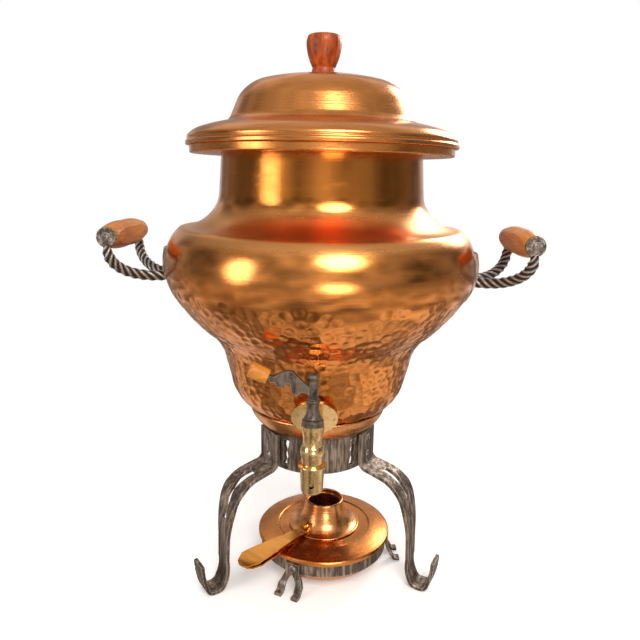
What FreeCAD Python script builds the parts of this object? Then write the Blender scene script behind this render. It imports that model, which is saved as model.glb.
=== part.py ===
"""Copper samovar on a wrought iron stand, with a brass tap and a spirit burner.

Millimetres. +Z is up, the tap points to -Y, and the origin is on the table under the vessel's axis.
An azimuth is measured from -Y towards +X, seen from above it runs counter-clockwise.
"""
import FreeCAD, Part
import Sketcher
import math
import os
import re

Vector = FreeCAD.Vector
Rotation = FreeCAD.Rotation
Placement = FreeCAD.Placement

doc = FreeCAD.newDocument("Samovar")

# Driving dimensions, in millimetres and degrees
SIZES = {
    # sheet metal of the vessel
    "vessel_wall": 1.2,
    "floor_z": 143.8,
    "floor_radius": 54.9,
    "foot_corner": 1.6,
    "collar_top": 147.0,
    "foot_arc_x": 35.3,
    "foot_arc_z": 178.5,
    "foot_arc_radius": 38.3,
    "foot_arc_start": -53.7,
    "foot_arc_end": -9.7,
    "waist_radius": 78.3,
    "waist_z": 193.0,
    "bowl_radius": 93.5,
    "bowl_z": 214.0,
    "belly_x": 80.7,
    "belly_z": 265.3,
    "belly_arc": 43.2,
    "belly_start": -30.5,
    "belly_end": 29.5,
    "shoulder_radius": 111.5,
    "shoulder_z": 294.5,
    "cove_radius": 82.3,
    "cove_z": 313.0,
    "neck_foot_radius": 80.4,
    "neck_foot_z": 321.0,
    "neck_radius": 78.5,
    "neck_lip": 1.2,
    # foot collar of the vessel
    "collar_wall": 1.2,
    "collar_spigot": 6.0,
    "collar_overhang": 1.0,
    "spigot_clearance": 0.4,
    # brim round the neck
    "brim_z": 350.0,
    "brim_plate": 1.3,
    "brim_radius": 102.3,
    "brim_depth": 5.9,
    "brim_wall": 1.6,
    # lid
    "lid_wall": 1.2,
    "lid_lip_radius": 105.2,
    "lid_lip_height": 2.4,
    "lid_bead_radius": 103.9,
    "lid_bead_z": 360.2,
    "lid_edge_radius": 103.2,
    "lid_edge_z": 363.4,
    "lid_slope_radius": 96.0,
    "lid_slope_z": 368.2,
    "lid_crease_radius": 77.0,
    "lid_crease_z": 373.0,
    "lid_drum_radius": 70.5,
    "lid_drum_z": 379.0,
    "lid_shoulder_radius": 65.7,
    "lid_shoulder_z": 390.2,
    "lid_crown_radius": 51.0,
    "lid_crown_z": 403.4,
    "lid_top_z": 409.6,
    "sleeve_clearance": 0.7,
    "sleeve_wall": 1.0,
    "sleeve_bottom": 340.0,
    # wooden knob
    "knob_height": 29.0,
    "knob_foot_radius": 9.8,
    "knob_waist_radius": 8.6,
    "knob_waist_height": 5.0,
    "knob_radius": 13.5,
    "knob_shoulder_height": 22.5,
    "knob_top_radius": 12.3,
    "knob_screw_radius": 2.0,
    "knob_screw_length": 17.0,
    "washer_radius": 8.0,
    "washer_thickness": 1.0,
    "screw_head_radius": 4.2,
    "screw_head_height": 2.6,
    # carrying handles
    "plate_thickness": 3.0,
    "plate_angle": 12.0,
    "plate_bottom_angle": -36.0,
    "plate_top_angle": 15.0,
    "plate_rivet_low": -22.0,
    "plate_rivet_high": 8.0,
    "rivet_radius": 1.7,
    "rivet_head_radius": 3.2,
    "rivet_head_height": 1.5,
    "arm_root_sink": 0.8,
    "arm_bar": 7.2,
    "arm_turns": 2.4,
    "arm_root_y": 9.0,
    "arm_root_z": 254.0,
    "arm_bow_x": 145.0,
    "arm_bow_y": 16.0,
    "arm_bow_z": 252.5,
    "arm_bend_x": 163.0,
    "arm_bend_z": 261.0,
    "eye_radius": 7.7,
    "eye_thickness": 3.0,
    "grip_x": 160.8,
    "grip_z": 286.5,
    "grip_length": 74.0,
    "grip_radius": 10.4,
    "grip_end_radius": 8.2,
    "grip_flat": 8.5,
    "rod_radius": 2.5,
    "rod_head_radius": 3.6,
    "rod_head_height": 1.6,
    # tap
    "tap_tilt": 28.0,
    "tap_reach": 100.0,
    "tap_shank_radius": 6.4,
    "tap_shank_bore": 3.0,
    "tap_shank_inside": 11.0,
    "tap_flange_radius": 17.5,
    "tap_flange_thickness": 2.0,
    "tap_gasket_radius": 11.5,
    "tap_gasket_thickness": 1.0,
    "tap_nut_radius": 10.5,
    "tap_nut_thickness": 4.0,
    "tap_nut_gap": 3.6,
    "barrel_top": 22.0,
    "barrel_radius": 8.1,
    "barrel_waist_radius": 7.4,
    "barrel_waist_z": 7.0,
    "barrel_bulge_radius": 8.3,
    "barrel_bulge_z": -1.0,
    "bead_radius": 9.9,
    "bead_z": -7.0,
    "bead_height": 2.4,
    "nozzle_radius": 8.8,
    "nozzle_end_radius": 8.0,
    "nozzle_bottom": -28.6,
    "nozzle_bore": 5.0,
    "nozzle_vent_radius": 2.1,
    "nozzle_vent_z": -21.0,
    "plug_top_radius": 5.6,
    "plug_bottom_radius": 4.9,
    "plug_bottom": -9.0,
    "plug_clearance": 0.05,
    "plug_bore": 2.6,
    "plug_stem_radius": 3.2,
    "plug_stem_top": 44.0,
    "gland_radius": 7.6,
    "gland_height": 4.6,
    "column_foot_radius": 6.0,
    "column_foot_z": 27.0,
    "column_waist_radius": 4.3,
    "column_waist_z": 36.0,
    "column_ring_radius": 5.2,
    "column_ring_z": 39.5,
    "column_radius": 3.7,
    "column_top": 53.5,
    "cap_radius": 4.2,
    "cap_height": 5.2,
    "lever_thickness": 4.6,
    "lever_z": 46.5,
    "lever_hump_x": 17.0,
    "lever_hump_z": 58.6,
    "lever_end_x": 29.5,
    "lever_end_z": 54.4,
    "lever_grip_length": 14.0,
    "lever_grip_slope": 24.0,
    "lever_grip_radius": 5.1,
    "lever_grip_end_radius": 5.8,
    # wrought iron stand
    "ring_top": 130.0,
    "ring_height": 30.0,
    "ring_radius": 45.0,
    "ring_thickness": 3.0,
    "stand_turn": 5.0,
    "ring_slot_width": 4.2,
    "ring_slot_height": 22.0,
    "ring_slot_offset": 17.2,
    "leg_thickness": 3.0,
    "leg_top_width": 26.0,
    "leg_knee_width": 29.0,
    "leg_ankle_width": 15.5,
    "leg_toe_width": 17.0,
    "leg_knee_x": 84.5,
    "leg_knee_z": 76.0,
    "leg_shin_x": 89.3,
    "leg_shin_z": 45.0,
    "leg_sole_x": 98.9,
    "leg_sole_length": 3.2,
    "leg_toe_x": 111.5,
    "leg_toe_z": 28.0,
    "leg_slot_length": 44.0,
    "leg_slot_width": 6.0,
    "leg_slot_x": 77.5,
    "leg_slot_z": 79.5,
    "leg_slot_tilt": 31.5,
    "leg_rivet_low": 108.0,
    "leg_rivet_high": 123.0,
    # burner
    "burner_x": 7.6,
    "burner_y": -5.0,
    "band_radius": 55.0,
    "band_thickness": 2.5,
    "band_bottom": 16.0,
    "band_top": 26.0,
    "foot_thickness": 2.5,
    "foot_root_width": 12.0,
    "foot_spread": 21.0,
    "foot_prong": 6.0,
    "foot_reach": 68.0,
    "burner_turn": -25.0,
    "band_rivet_z": 21.0,
    "copper_wall": 1.0,
    "bowl_clearance": 0.3,
    "burner_bowl_floor": 5.0,
    "burner_bowl_bottom_radius": 40.0,
    "cover_overhang": 2.7,
    "cover_edge_top": 31.2,
    "cover_crease_radius": 40.5,
    "cover_crease_z": 34.6,
    "cover_well_radius": 33.0,
    "cover_well_z": 34.0,
    "tube_radius": 15.0,
    "tube_top": 54.5,
    "cone_base_radius": 29.5,
    "cone_waist_radius": 19.0,
    "cone_waist_z": 46.5,
    "cone_top_radius": 16.8,
    "cone_top": 57.5,
    "cone_clearance": 0.08,
    "cone_lift": 0.3,
    "wool_radius": 36.0,
    "wool_top": 27.0,
    "gauze_radius": 24.0,
    "gauze_thickness": 0.8,
    "handle_azimuth": -39.0,
    "handle_width": 20.0,
    "handle_neck": 9.0,
    "handle_thickness": 1.2,
    "regulator_handle_end": 99.0,
    "regulator_handle_z": 42.0,
    "cover_handle_end": 95.0,
    "cover_handle_z": 38.4,
    "flare_lean": 46.0,
    "small_rivet_radius": 1.3,
    "small_rivet_head": 2.8,
}

sheet = doc.addObject("Spreadsheet::Sheet", "Sizes")
for row, (alias, value) in enumerate(SIZES.items(), start=1):
    sheet.set("A%d" % row, alias)
    sheet.set("B%d" % row, str(value))
    sheet.setAlias("B%d" % row, alias)
doc.recompute()

WORD = re.compile(r"[a-z][a-z_]*[a-z]")


def bound(text):
    """The expression with each size's name pointing into the sheet."""
    return WORD.sub(lambda m: "Sizes." + m.group(0) if m.group(0) in SIZES else m.group(0), str(text))


def size(text):
    """The present value of an expression of sizes."""
    return float(sheet.evalExpression(bound(text)))


def bind(item, path, text):
    item.setExpression(path, bound(text))


nodes = []


def new_body(label, x=None, y=None, z=None, spin=None):
    """A body whose place is bound to sizes, turned about +Z by spin degrees."""
    body = doc.addObject("PartDesign::Body", label)
    body.Label = label
    for path, text in (("Placement.Base.x", x), ("Placement.Base.y", y), ("Placement.Base.z", z)):
        if text is not None:
            bind(body, path, text)
    if spin is not None:
        body.Placement = Placement(Vector(0, 0, 0), Rotation(Vector(0, 0, 1), 1.0))
        bind(body, "Placement.Rotation.Angle", spin)
    nodes.append(body)
    return body


def origin_part(body, role):
    return [part for part in body.Origin.OriginFeatures if part.Role == role][0]


def new_sketch(body, name, role, x=None, y=None, lift=None, tilt=None, turn_axis=(0, 0, 1)):
    """A sketch on an origin plane. x and y move its own origin in the plane, tilt turns it."""
    sketch = body.newObject("Sketcher::SketchObject", name)
    sketch.AttachmentSupport = [(origin_part(body, role), "")]
    sketch.MapMode = "FlatFace"
    if tilt is not None:
        sketch.AttachmentOffset = Placement(Vector(0, 0, 0), Rotation(Vector(*turn_axis), 1.0))
        bind(sketch, "AttachmentOffset.Rotation.Angle", tilt)
    for path, text in (("x", x), ("y", y), ("z", lift)):
        if text is not None:
            bind(sketch, "AttachmentOffset.Base." + path, text)
    return sketch


def add_loop(sketch, corners):
    """A closed loop through corners (x, y, turn). turn is how far the edge to the next corner
    bends, in degrees, counter-clockwise positive; 0 is a straight edge."""
    points = [(size(x), size(y)) for x, y, turn in corners]
    first = sketch.GeometryCount
    starts = []
    for index, (x, y, turn) in enumerate(corners):
        here = points[index]
        there = points[(index + 1) % len(points)]
        bend = size(turn)
        if abs(bend) < 0.01:
            sketch.addGeometry(Part.LineSegment(Vector(*here, 0), Vector(*there, 0)))
            starts.append((1, 2, None))
            continue
        chord = math.dist(here, there)
        radius = chord / (2 * math.sin(math.radians(abs(bend)) / 2))
        heading = math.atan2(there[1] - here[1], there[0] - here[0])
        side = math.copysign(1, bend)
        start_angle = heading - math.radians(bend) / 2 - side * math.pi / 2
        centre = Vector(here[0] - radius * math.cos(start_angle), here[1] - radius * math.sin(start_angle), 0)
        end_angle = start_angle + math.radians(bend)
        low, high = (start_angle, end_angle) if bend > 0 else (end_angle, start_angle)
        circle = Part.Circle(centre, Vector(0, 0, 1), radius)
        sketch.addGeometry(Part.ArcOfCircle(circle, low, high))
        ends = (1, 2) if bend > 0 else (2, 1)
        starts.append(ends + (index,))
    for index, (x, y, turn) in enumerate(corners):
        following = (index + 1) % len(corners)
        edge = first + index
        sketch.addConstraint(Sketcher.Constraint("Coincident", edge, starts[index][1],
                                                 first + following, starts[following][0]))
        for kind, text, value in (("DistanceX", x, points[index][0]), ("DistanceY", y, points[index][1])):
            number = sketch.addConstraint(Sketcher.Constraint(kind, edge, starts[index][0], value))
            bind(sketch, "Constraints[%d]" % number, text)
        if starts[index][2] is not None:
            nx, ny, _ = corners[following]
            radius = sketch.Geometry[edge].Radius
            number = sketch.addConstraint(Sketcher.Constraint("Radius", edge, radius))
            bind(sketch, "Constraints[%d]" % number,
                 "sqrt(((%s) - (%s))^2 + ((%s) - (%s))^2) / (2 * sin(abs(%s) / 2))" % (nx, x, ny, y, turn))


def outline(body, name, role, *loops, **place):
    sketch = new_sketch(body, name, role, **place)
    for corners in loops:
        add_loop(sketch, corners)
    return sketch


def rectangle(x_low, x_high, y_low, y_high):
    return [(x_low, y_low, 0), (x_high, y_low, 0), (x_high, y_high, 0), (x_low, y_high, 0)]


def ring_sketch(body, name, role, radii, **place):
    """Round outlines of the given radii about the sketch's own origin."""
    sketch = new_sketch(body, name, role, **place)
    for radius in radii:
        index = sketch.addGeometry(Part.Circle(Vector(0, 0, 0), Vector(0, 0, 1), size(radius)))
        sketch.addConstraint(Sketcher.Constraint("Coincident", index, 3, -1, 1))
        number = sketch.addConstraint(Sketcher.Constraint("Radius", index, size(radius)))
        bind(sketch, "Constraints[%d]" % number, radius)
    return sketch


cuts = []


def revolve(body, sketch, cut=False, axis="V_Axis", angle="360", name=None):
    kind = "PartDesign::Groove" if cut else "PartDesign::Revolution"
    before = body.Tip.Shape.Volume if cut else 0
    feature = body.newObject(kind, name or sketch.Name + "Turn")
    feature.Profile = sketch
    feature.ReferenceAxis = (sketch, [axis])
    feature.Angle = size(angle)
    if angle != "360":
        feature.Midplane = True
        bind(feature, "Angle", angle)
    doc.recompute()
    if cut:
        cuts.append((body.Label, feature.Name, before, feature.Shape.Volume))
    return feature


def extrude(body, sketch, length, cut=False, symmetric=False, reverse=False, name=None):
    kind = "PartDesign::Pocket" if cut else "PartDesign::Pad"
    before = body.Tip.Shape.Volume if cut else 0
    feature = body.newObject(kind, name or sketch.Name + "Push")
    feature.Profile = sketch
    if symmetric:
        feature.SideType = "Symmetric"
    feature.Reversed = reverse
    bind(feature, "Length", length)
    doc.recompute()
    if cut:
        cuts.append((body.Label, feature.Name, before, feature.Shape.Volume))
    return feature


def repeat_round(body, features, count, name="Round"):
    pattern = body.newObject("PartDesign::PolarPattern", name)
    pattern.Originals = features
    pattern.Axis = (origin_part(body, "Z_Axis"), [""])
    pattern.Angle = 360
    pattern.Occurrences = count
    body.Tip = pattern
    doc.recompute()
    return pattern


def cross_bore(body, name, role, radius, start, end, x="0", y="0", tilt="0"):
    """A round hole along a line that starts at (x, y) in the plane and leans by tilt."""
    sketch = outline(body, name, role, rectangle(start, end, "0", radius), x=x, y=y, tilt=tilt)
    return revolve(body, sketch, cut=True, axis="H_Axis")


def wall_faces(stations, wall):
    """Outer and inner face of a sheet whose outer face passes the stations (x, y, lean, turn).
    lean is the angle of the outward normal, and the inner face lies one wall behind it."""
    outer = [(x, y, turn) for x, y, lean, turn in stations]
    inner = []
    for index in range(len(stations) - 1, -1, -1):
        x, y, lean, turn = stations[index]
        back = str(stations[index - 1][3]) if index else "0"
        inner.append(("%s - (%s) * cos(%s)" % (x, wall, lean), "%s - (%s) * sin(%s)" % (y, wall, lean),
                      "-(%s)" % back))
    outer[-1] = outer[-1][:2] + ("0",)
    return outer, inner


def on_foot(angle):
    return ("foot_arc_x + foot_arc_radius * cos(%s)" % angle, "foot_arc_z + foot_arc_radius * sin(%s)" % angle)


def on_belly(angle, out="0"):
    return ("belly_x + (belly_arc + %s) * cos(%s)" % (out, angle),
            "belly_z + (belly_arc + %s) * sin(%s)" % (out, angle))


# Vessel shell: spun copper, floor, foot, hammered bowl, shoulder, cove and neck in one piece
NECK_TOP = "brim_z + brim_plate + neck_lip"
SHANK_START = on_foot("-tap_tilt")
vessel_shell = new_body("vessel_shell")
stations = [
    ("0", "floor_z", "-90", "0"),
    ("floor_radius", "floor_z", "-90", "90"),
    ("floor_radius + foot_corner", "floor_z + foot_corner", "0", "0"),
    ("floor_radius + foot_corner", "collar_top", "-10", "0"),
    on_foot("foot_arc_start") + ("foot_arc_start", "foot_arc_end - foot_arc_start"),
    on_foot("foot_arc_end") + ("foot_arc_end - 2", "0"),
    ("waist_radius", "waist_z", "-15", "-40"),
    ("bowl_radius", "bowl_z", "-52", "15"),
    on_belly("belly_start") + ("belly_start", "belly_end - belly_start"),
    on_belly("belly_end") + ("belly_end", "18"),
    ("shoulder_radius", "shoulder_z", "66", "-63"),
    ("cove_radius", "cove_z", "25", "-19"),
    ("neck_foot_radius", "neck_foot_z", "5", "0"),
    ("neck_radius", "brim_z - 0.5", "2", "0"),
    ("neck_radius", NECK_TOP, "0", "0"),
]
outer, inner = wall_faces(stations, "vessel_wall")
revolve(vessel_shell, outline(vessel_shell, "ShellWall", "XZ_Plane", outer + inner))
cross_bore(vessel_shell, "TapHole", "YZ_Plane", "tap_shank_radius", "foot_arc_radius - 6",
           "foot_arc_radius + 6", x="-foot_arc_x", y="foot_arc_z", tilt="180 + tap_tilt")
plate_holes = [
    cross_bore(vessel_shell, "RivetHole" + which, "XZ_Plane", "rivet_radius", "belly_arc - 5",
               "belly_arc + 5", x="belly_x", y="belly_z", tilt=angle)
    for which, angle in (("Low", "plate_rivet_low"), ("High", "plate_rivet_high"))
]
repeat_round(vessel_shell, plate_holes, 2)

# Foot collar: smooth copper band that stands on the iron ring, with a spigot inside it
RING_BORE = "(ring_radius - ring_thickness)"
collar = new_body("vessel_collar")
spigot = RING_BORE + " - spigot_clearance"
revolve(collar, outline(collar, "CollarWall", "XZ_Plane", [
    ("ring_radius + collar_overhang", "ring_top", "50"),
    ("floor_radius + foot_corner + collar_wall", "collar_top - 0.4", "0"),
    ("floor_radius + foot_corner", "collar_top - 0.4", "0"),
    ("floor_radius + foot_corner", "floor_z + 0.6", "-42"),
    ("ring_radius + collar_overhang", "ring_top + collar_wall", "0"),
    (spigot + " - collar_wall", "ring_top + collar_wall", "0"),
    (spigot + " - collar_wall", "ring_top - collar_spigot", "0"),
    (spigot, "ring_top - collar_spigot", "0"),
    (spigot, "ring_top", "0"),
]))

# Brim: flat flange with a turned-up edge that the lid rests on
LID_SEAT = "(brim_z + brim_depth)"
brim = new_body("vessel_brim")
revolve(brim, outline(brim, "BrimWall", "XZ_Plane", [
    ("neck_radius", "brim_z", "0"),
    ("brim_radius - 1.2", "brim_z", "90"),
    ("brim_radius", "brim_z + 1.2", "0"),
    ("brim_radius", LID_SEAT, "0"),
    ("brim_radius - brim_wall", LID_SEAT, "0"),
    ("brim_radius - brim_wall", "brim_z + brim_plate", "0"),
    ("neck_radius", "brim_z + brim_plate", "0"),
]))

# Lid shell: spun copper, flat lip, rounded bead, sloping flange and stepped dome
lid_shell = new_body("lid_shell")
stations = [
    ("lid_bead_radius", "lid_bead_z", "-12", "56"),
    ("lid_edge_radius", "lid_edge_z", "44", "25"),
    ("lid_slope_radius", "lid_slope_z", "70", "12"),
    ("lid_crease_radius", "lid_crease_z", "82", "-58"),
    ("lid_drum_radius", "lid_drum_z", "23", "0"),
    ("lid_shoulder_radius", "lid_shoulder_z", "25", "41"),
    ("lid_crown_radius", "lid_crown_z", "70",
     "2 * atan((lid_top_z - lid_crown_z) / (lid_crown_radius - knob_screw_radius))"),
    ("knob_screw_radius", "lid_top_z", "90", "0"),
]
outer, inner = wall_faces(stations, "lid_wall")
lip_inner = "brim_radius - brim_wall"
lip = [
    (lip_inner, LID_SEAT, "0"),
    ("lid_lip_radius - 0.6", LID_SEAT, "90"),
    ("lid_lip_radius", LID_SEAT + " + 0.6", "0"),
    ("lid_lip_radius", LID_SEAT + " + lid_lip_height", "0"),
]
top_of_lip = [(lip_inner, LID_SEAT + " + lid_lip_height", "0")]
revolve(lid_shell, outline(lid_shell, "LidWall", "XZ_Plane", lip + outer + inner + top_of_lip))

# Sleeve soldered inside the lid, which centres it in the neck
sleeve_radius = "neck_radius - vessel_wall - sleeve_clearance"
lid_collar = new_body("lid_collar")
revolve(lid_collar, outline(lid_collar, "SleeveWall", "XZ_Plane",
                            rectangle(sleeve_radius + " - sleeve_wall", sleeve_radius, "sleeve_bottom",
                                      "lid_crease_z - lid_wall")))

# Knob: turned hardwood, held by a screw through the lid's crown
KNOB_FOOT = "(lid_top_z + 0.05)"
knob = new_body("lid_knob", z=KNOB_FOOT)
revolve(knob, outline(knob, "KnobWood", "XZ_Plane", [
    ("knob_screw_radius", "0", "0"),
    ("knob_foot_radius - 0.6", "0", "60"),
    ("knob_foot_radius", "0.8", "-14"),
    ("knob_waist_radius", "knob_waist_height", "-24"),
    ("knob_radius", "knob_shoulder_height", "30"),
    ("knob_top_radius", "knob_height - 1.6", "62"),
    ("knob_top_radius - 1.8", "knob_height - 0.7", "2 * atan(0.7 / (knob_top_radius - 1.8))"),
    ("0", "knob_height", "0"),
    ("0", "knob_screw_length + 1", "0"),
    ("knob_screw_radius", "knob_screw_length", "0"),
]))
UNDER_CROWN = "(lid_top_z - lid_wall)"
washer = new_body("lid_knob_washer", z=UNDER_CROWN)
revolve(washer, outline(washer, "WasherPlate", "XZ_Plane",
                        rectangle("knob_screw_radius", "washer_radius", "-washer_thickness - 0.4", "-0.4")))
screw = new_body("lid_knob_screw", z=UNDER_CROWN + " - washer_thickness - 0.4")
revolve(screw, outline(screw, "ScrewTurned", "XZ_Plane", [
    ("0", "-screw_head_height", "2 * atan((screw_head_height - 0.6) / screw_head_radius)"),
    ("screw_head_radius", "-0.6", "0"),
    ("screw_head_radius", "0", "0"),
    ("knob_screw_radius", "0", "0"),
    ("knob_screw_radius", "washer_thickness + 0.4 + lid_wall + knob_screw_length - 0.5", "0"),
    ("0", "washer_thickness + 0.4 + lid_wall + knob_screw_length + 0.3", "0"),
]))
extrude(screw, outline(screw, "ScrewSlot", "XY_Plane",
                       rectangle("-screw_head_radius - 1", "screw_head_radius + 1", "-0.5", "0.5"),
                       lift="-screw_head_height"), "1.2", cut=True, reverse=True)


def round_head(radius, head_radius, head_height, inside, outside, inner_head):
    """Profile of a rivet along X: shank from inside to outside, domed head, and a set inner head."""
    dome = "4 * atan(%s / %s)" % (head_height, head_radius)
    corners = [
        ("%s + %s" % (outside, head_height), "0", dome + " / 2"),
        (outside, head_radius, "0"),
        (outside, radius, "0"),
        (inside, radius, "0"),
    ]
    if inner_head:
        corners += [
            (inside, "%s * 0.85" % head_radius, "0"),
            ("%s - %s * 0.6" % (inside, head_height), "%s * 0.6" % head_radius, "0"),
            ("%s - %s * 0.6" % (inside, head_height), "0", "0"),
        ]
    else:
        corners += [(inside, "0", "0")]
    return corners


def twisted_bar(points, turns, thickness, flat):
    """A square bar along a Bezier curve of four points, turned evenly, and hammered flat at its end."""
    steps = int(round(turns * 16))
    sections = []
    for step in range(steps + 1):
        share = step / steps
        rest = 1 - share
        centre = (points[0] * rest ** 3 + points[1] * (3 * rest ** 2 * share)
                  + points[2] * (3 * rest * share ** 2) + points[3] * share ** 3)
        along = ((points[1] - points[0]) * rest ** 2 + (points[2] - points[1]) * (2 * rest * share)
                 + (points[3] - points[2]) * share ** 2).normalize()
        side = along.cross(Vector(0, 0, 1) if abs(along.z) < 0.9 else Vector(1, 0, 0)).normalize()
        side = (side - along * side.dot(along)).normalize()
        sections.append((centre, along, side, share))
    wires = []
    carried = sections[0][2]
    for centre, along, side, share in sections:
        carried = (carried - along * carried.dot(along)).normalize()
        other = along.cross(carried)
        twist = 2 * math.pi * turns * min(share / 0.86, 1.0)
        squash = max(0.0, (share - 0.86) / 0.14)
        u = carried * math.cos(twist) + other * math.sin(twist)
        v = other * math.cos(twist) - carried * math.sin(twist)
        depth = thickness + (flat - thickness) * squash
        half_u = u * (depth / 2 if abs(u.y) > abs(v.y) else thickness / 2)
        half_v = v * (thickness / 2 if abs(u.y) > abs(v.y) else depth / 2)
        corners = [centre + half_u + half_v, centre - half_u + half_v,
                   centre - half_u - half_v, centre + half_u - half_v]
        wires.append(Part.makePolygon(corners + corners[:1]))
    return Part.makeLoft(wires, True, True)


# Carrying handles: wrought plate, two twisted arms, turned grip, through rod, rivets
PLATE_OUTER = "belly_arc + plate_thickness"
rod_reach = "grip_length / 2 + eye_thickness"
for side, half_turn in (("right", "0"), ("left", "180")):
    plate = new_body("handle_plate_" + side, spin=half_turn)
    revolve(plate, outline(plate, "PlateWall", "XZ_Plane", [
        on_belly("plate_bottom_angle") + ("plate_top_angle - plate_bottom_angle",),
        on_belly("plate_top_angle") + ("0",),
        on_belly("plate_top_angle", "plate_thickness") + ("-(plate_top_angle - plate_bottom_angle)",),
        on_belly("plate_bottom_angle", "plate_thickness") + ("0",),
    ]), angle="plate_angle")
    for which, angle in (("Low", "plate_rivet_low"), ("High", "plate_rivet_high")):
        cross_bore(plate, "Hole" + which, "XZ_Plane", "rivet_radius", "belly_arc - 5",
                   PLATE_OUTER + " + 5", x="belly_x", y="belly_z", tilt=angle)

    rivets = new_body("handle_rivets_" + side, spin=half_turn)
    for which, angle in (("Low", "plate_rivet_low"), ("High", "plate_rivet_high")):
        profile = round_head("rivet_radius", "rivet_head_radius", "rivet_head_height",
                             "belly_arc - vessel_wall - 0.1", PLATE_OUTER + " + 0.1", True)
        revolve(rivets, outline(rivets, "Rivet" + which, "XZ_Plane", profile,
                                x="belly_x", y="belly_z", tilt=angle), axis="H_Axis")

    grip = new_body("handle_grip_" + side, x="%s" % ("grip_x" if side == "right" else "-grip_x"),
                    z="grip_z", spin=half_turn)
    revolve(grip, outline(grip, "GripWood", "XY_Plane", [
        ("rod_radius", "-grip_length / 2", "0"),
        ("grip_end_radius - 0.8", "-grip_length / 2", "60"),
        ("grip_end_radius", "-grip_length / 2 + 0.8", "16"),
        ("grip_radius", "0", "16"),
        ("grip_end_radius", "grip_length / 2 - 0.8", "60"),
        ("grip_end_radius - 0.8", "grip_length / 2", "0"),
        ("rod_radius", "grip_length / 2", "0"),
    ]))
    extrude(grip, outline(grip, "GripFlat", "XZ_Plane",
                          rectangle("-grip_radius - 2", "-grip_flat", "-grip_radius", "grip_radius")),
            "grip_length + 2", cut=True, symmetric=True)

    rod = new_body("handle_rod_" + side, x="%s" % ("grip_x" if side == "right" else "-grip_x"),
                   z="grip_z", spin=half_turn)
    revolve(rod, outline(rod, "RodTurned", "XY_Plane", [
        ("0", "-(%s) - rod_head_height" % rod_reach, "2 * atan(rod_head_height / rod_head_radius)"),
        ("rod_head_radius", "-(%s)" % rod_reach, "0"),
        ("rod_radius", "-(%s)" % rod_reach, "0"),
        ("rod_radius", rod_reach, "0"),
        ("rod_head_radius", rod_reach, "2 * atan(rod_head_height / rod_head_radius)"),
        ("0", "%s + rod_head_height" % rod_reach, "0"),
    ]))

    if side == "right":
        doc.recompute()
        plate_seat = plate.Shape.copy()
        grip_seat = grip.Shape.copy()
    for end, sign in (("front", -1), ("rear", 1)):
        eye_y = size("grip_length / 2 + eye_thickness / 2")
        root_x = size("belly_x") + math.sqrt(size(PLATE_OUTER) ** 2
                                             - size("belly_z - arm_root_z") ** 2) - size("arm_root_sink")
        path = [
            Vector(root_x, sign * size("arm_root_y"), size("arm_root_z")),
            Vector(size("arm_bow_x"), sign * size("arm_bow_y"), size("arm_bow_z")),
            Vector(size("arm_bend_x"), sign * eye_y, size("arm_bend_z")),
            Vector(size("grip_x"), sign * eye_y, size("grip_z - eye_radius + 1.5")),
        ]
        bar = twisted_bar(path, size("arm_turns"), size("arm_bar"), size("eye_thickness"))
        eye = Part.makeCylinder(size("eye_radius"), size("eye_thickness"),
                                Vector(size("grip_x"), sign * eye_y - size("eye_thickness") / 2, size("grip_z")),
                                Vector(0, 1, 0))
        hole = Part.makeCylinder(size("rod_radius"), size("eye_thickness") + 2,
                                 Vector(size("grip_x"), sign * eye_y - size("eye_thickness") / 2 - 1,
                                        size("grip_z")), Vector(0, 1, 0))
        shape = bar.fuse(eye).cut([hole, plate_seat, grip_seat])
        name = "handle_arm_%s_%s" % (side, end if side == "right" else ("rear" if end == "front" else "front"))
        arm = doc.addObject("Part::Feature", name)
        arm.Label = name
        arm.Shape = shape
        arm.Placement = Placement(Vector(0, 0, 0), Rotation(Vector(0, 0, 1), float(half_turn)))
        nodes.append(arm)

# Tap: its own frame has the barrel's axis upright and the shank's axis meeting it at the origin
TAP_MID = "(%s - (tap_reach - (%s)) * tan(tap_tilt))" % (SHANK_START[1], SHANK_START[0])
SEAT_RUN = "((tap_reach - (%s)) / cos(tap_tilt))" % SHANK_START[0]
PLUG_SLOPE = "((plug_top_radius - plug_bottom_radius) / (barrel_top - plug_bottom))"


def tap_body_at(label):
    return new_body(label, y="-tap_reach", z=TAP_MID)


def along_shank(body, name, radii, start, length, cut=False):
    """A round piece about the shank's axis, start millimetres behind the barrel's axis."""
    sketch = ring_sketch(body, name, "XZ_Plane", radii, tilt="tap_tilt", turn_axis=(1, 0, 0),
                         lift="-(%s) * cos(tap_tilt)" % start, y="(%s) * sin(tap_tilt)" % start)
    return extrude(body, sketch, length, cut=cut, reverse=not cut)


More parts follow.
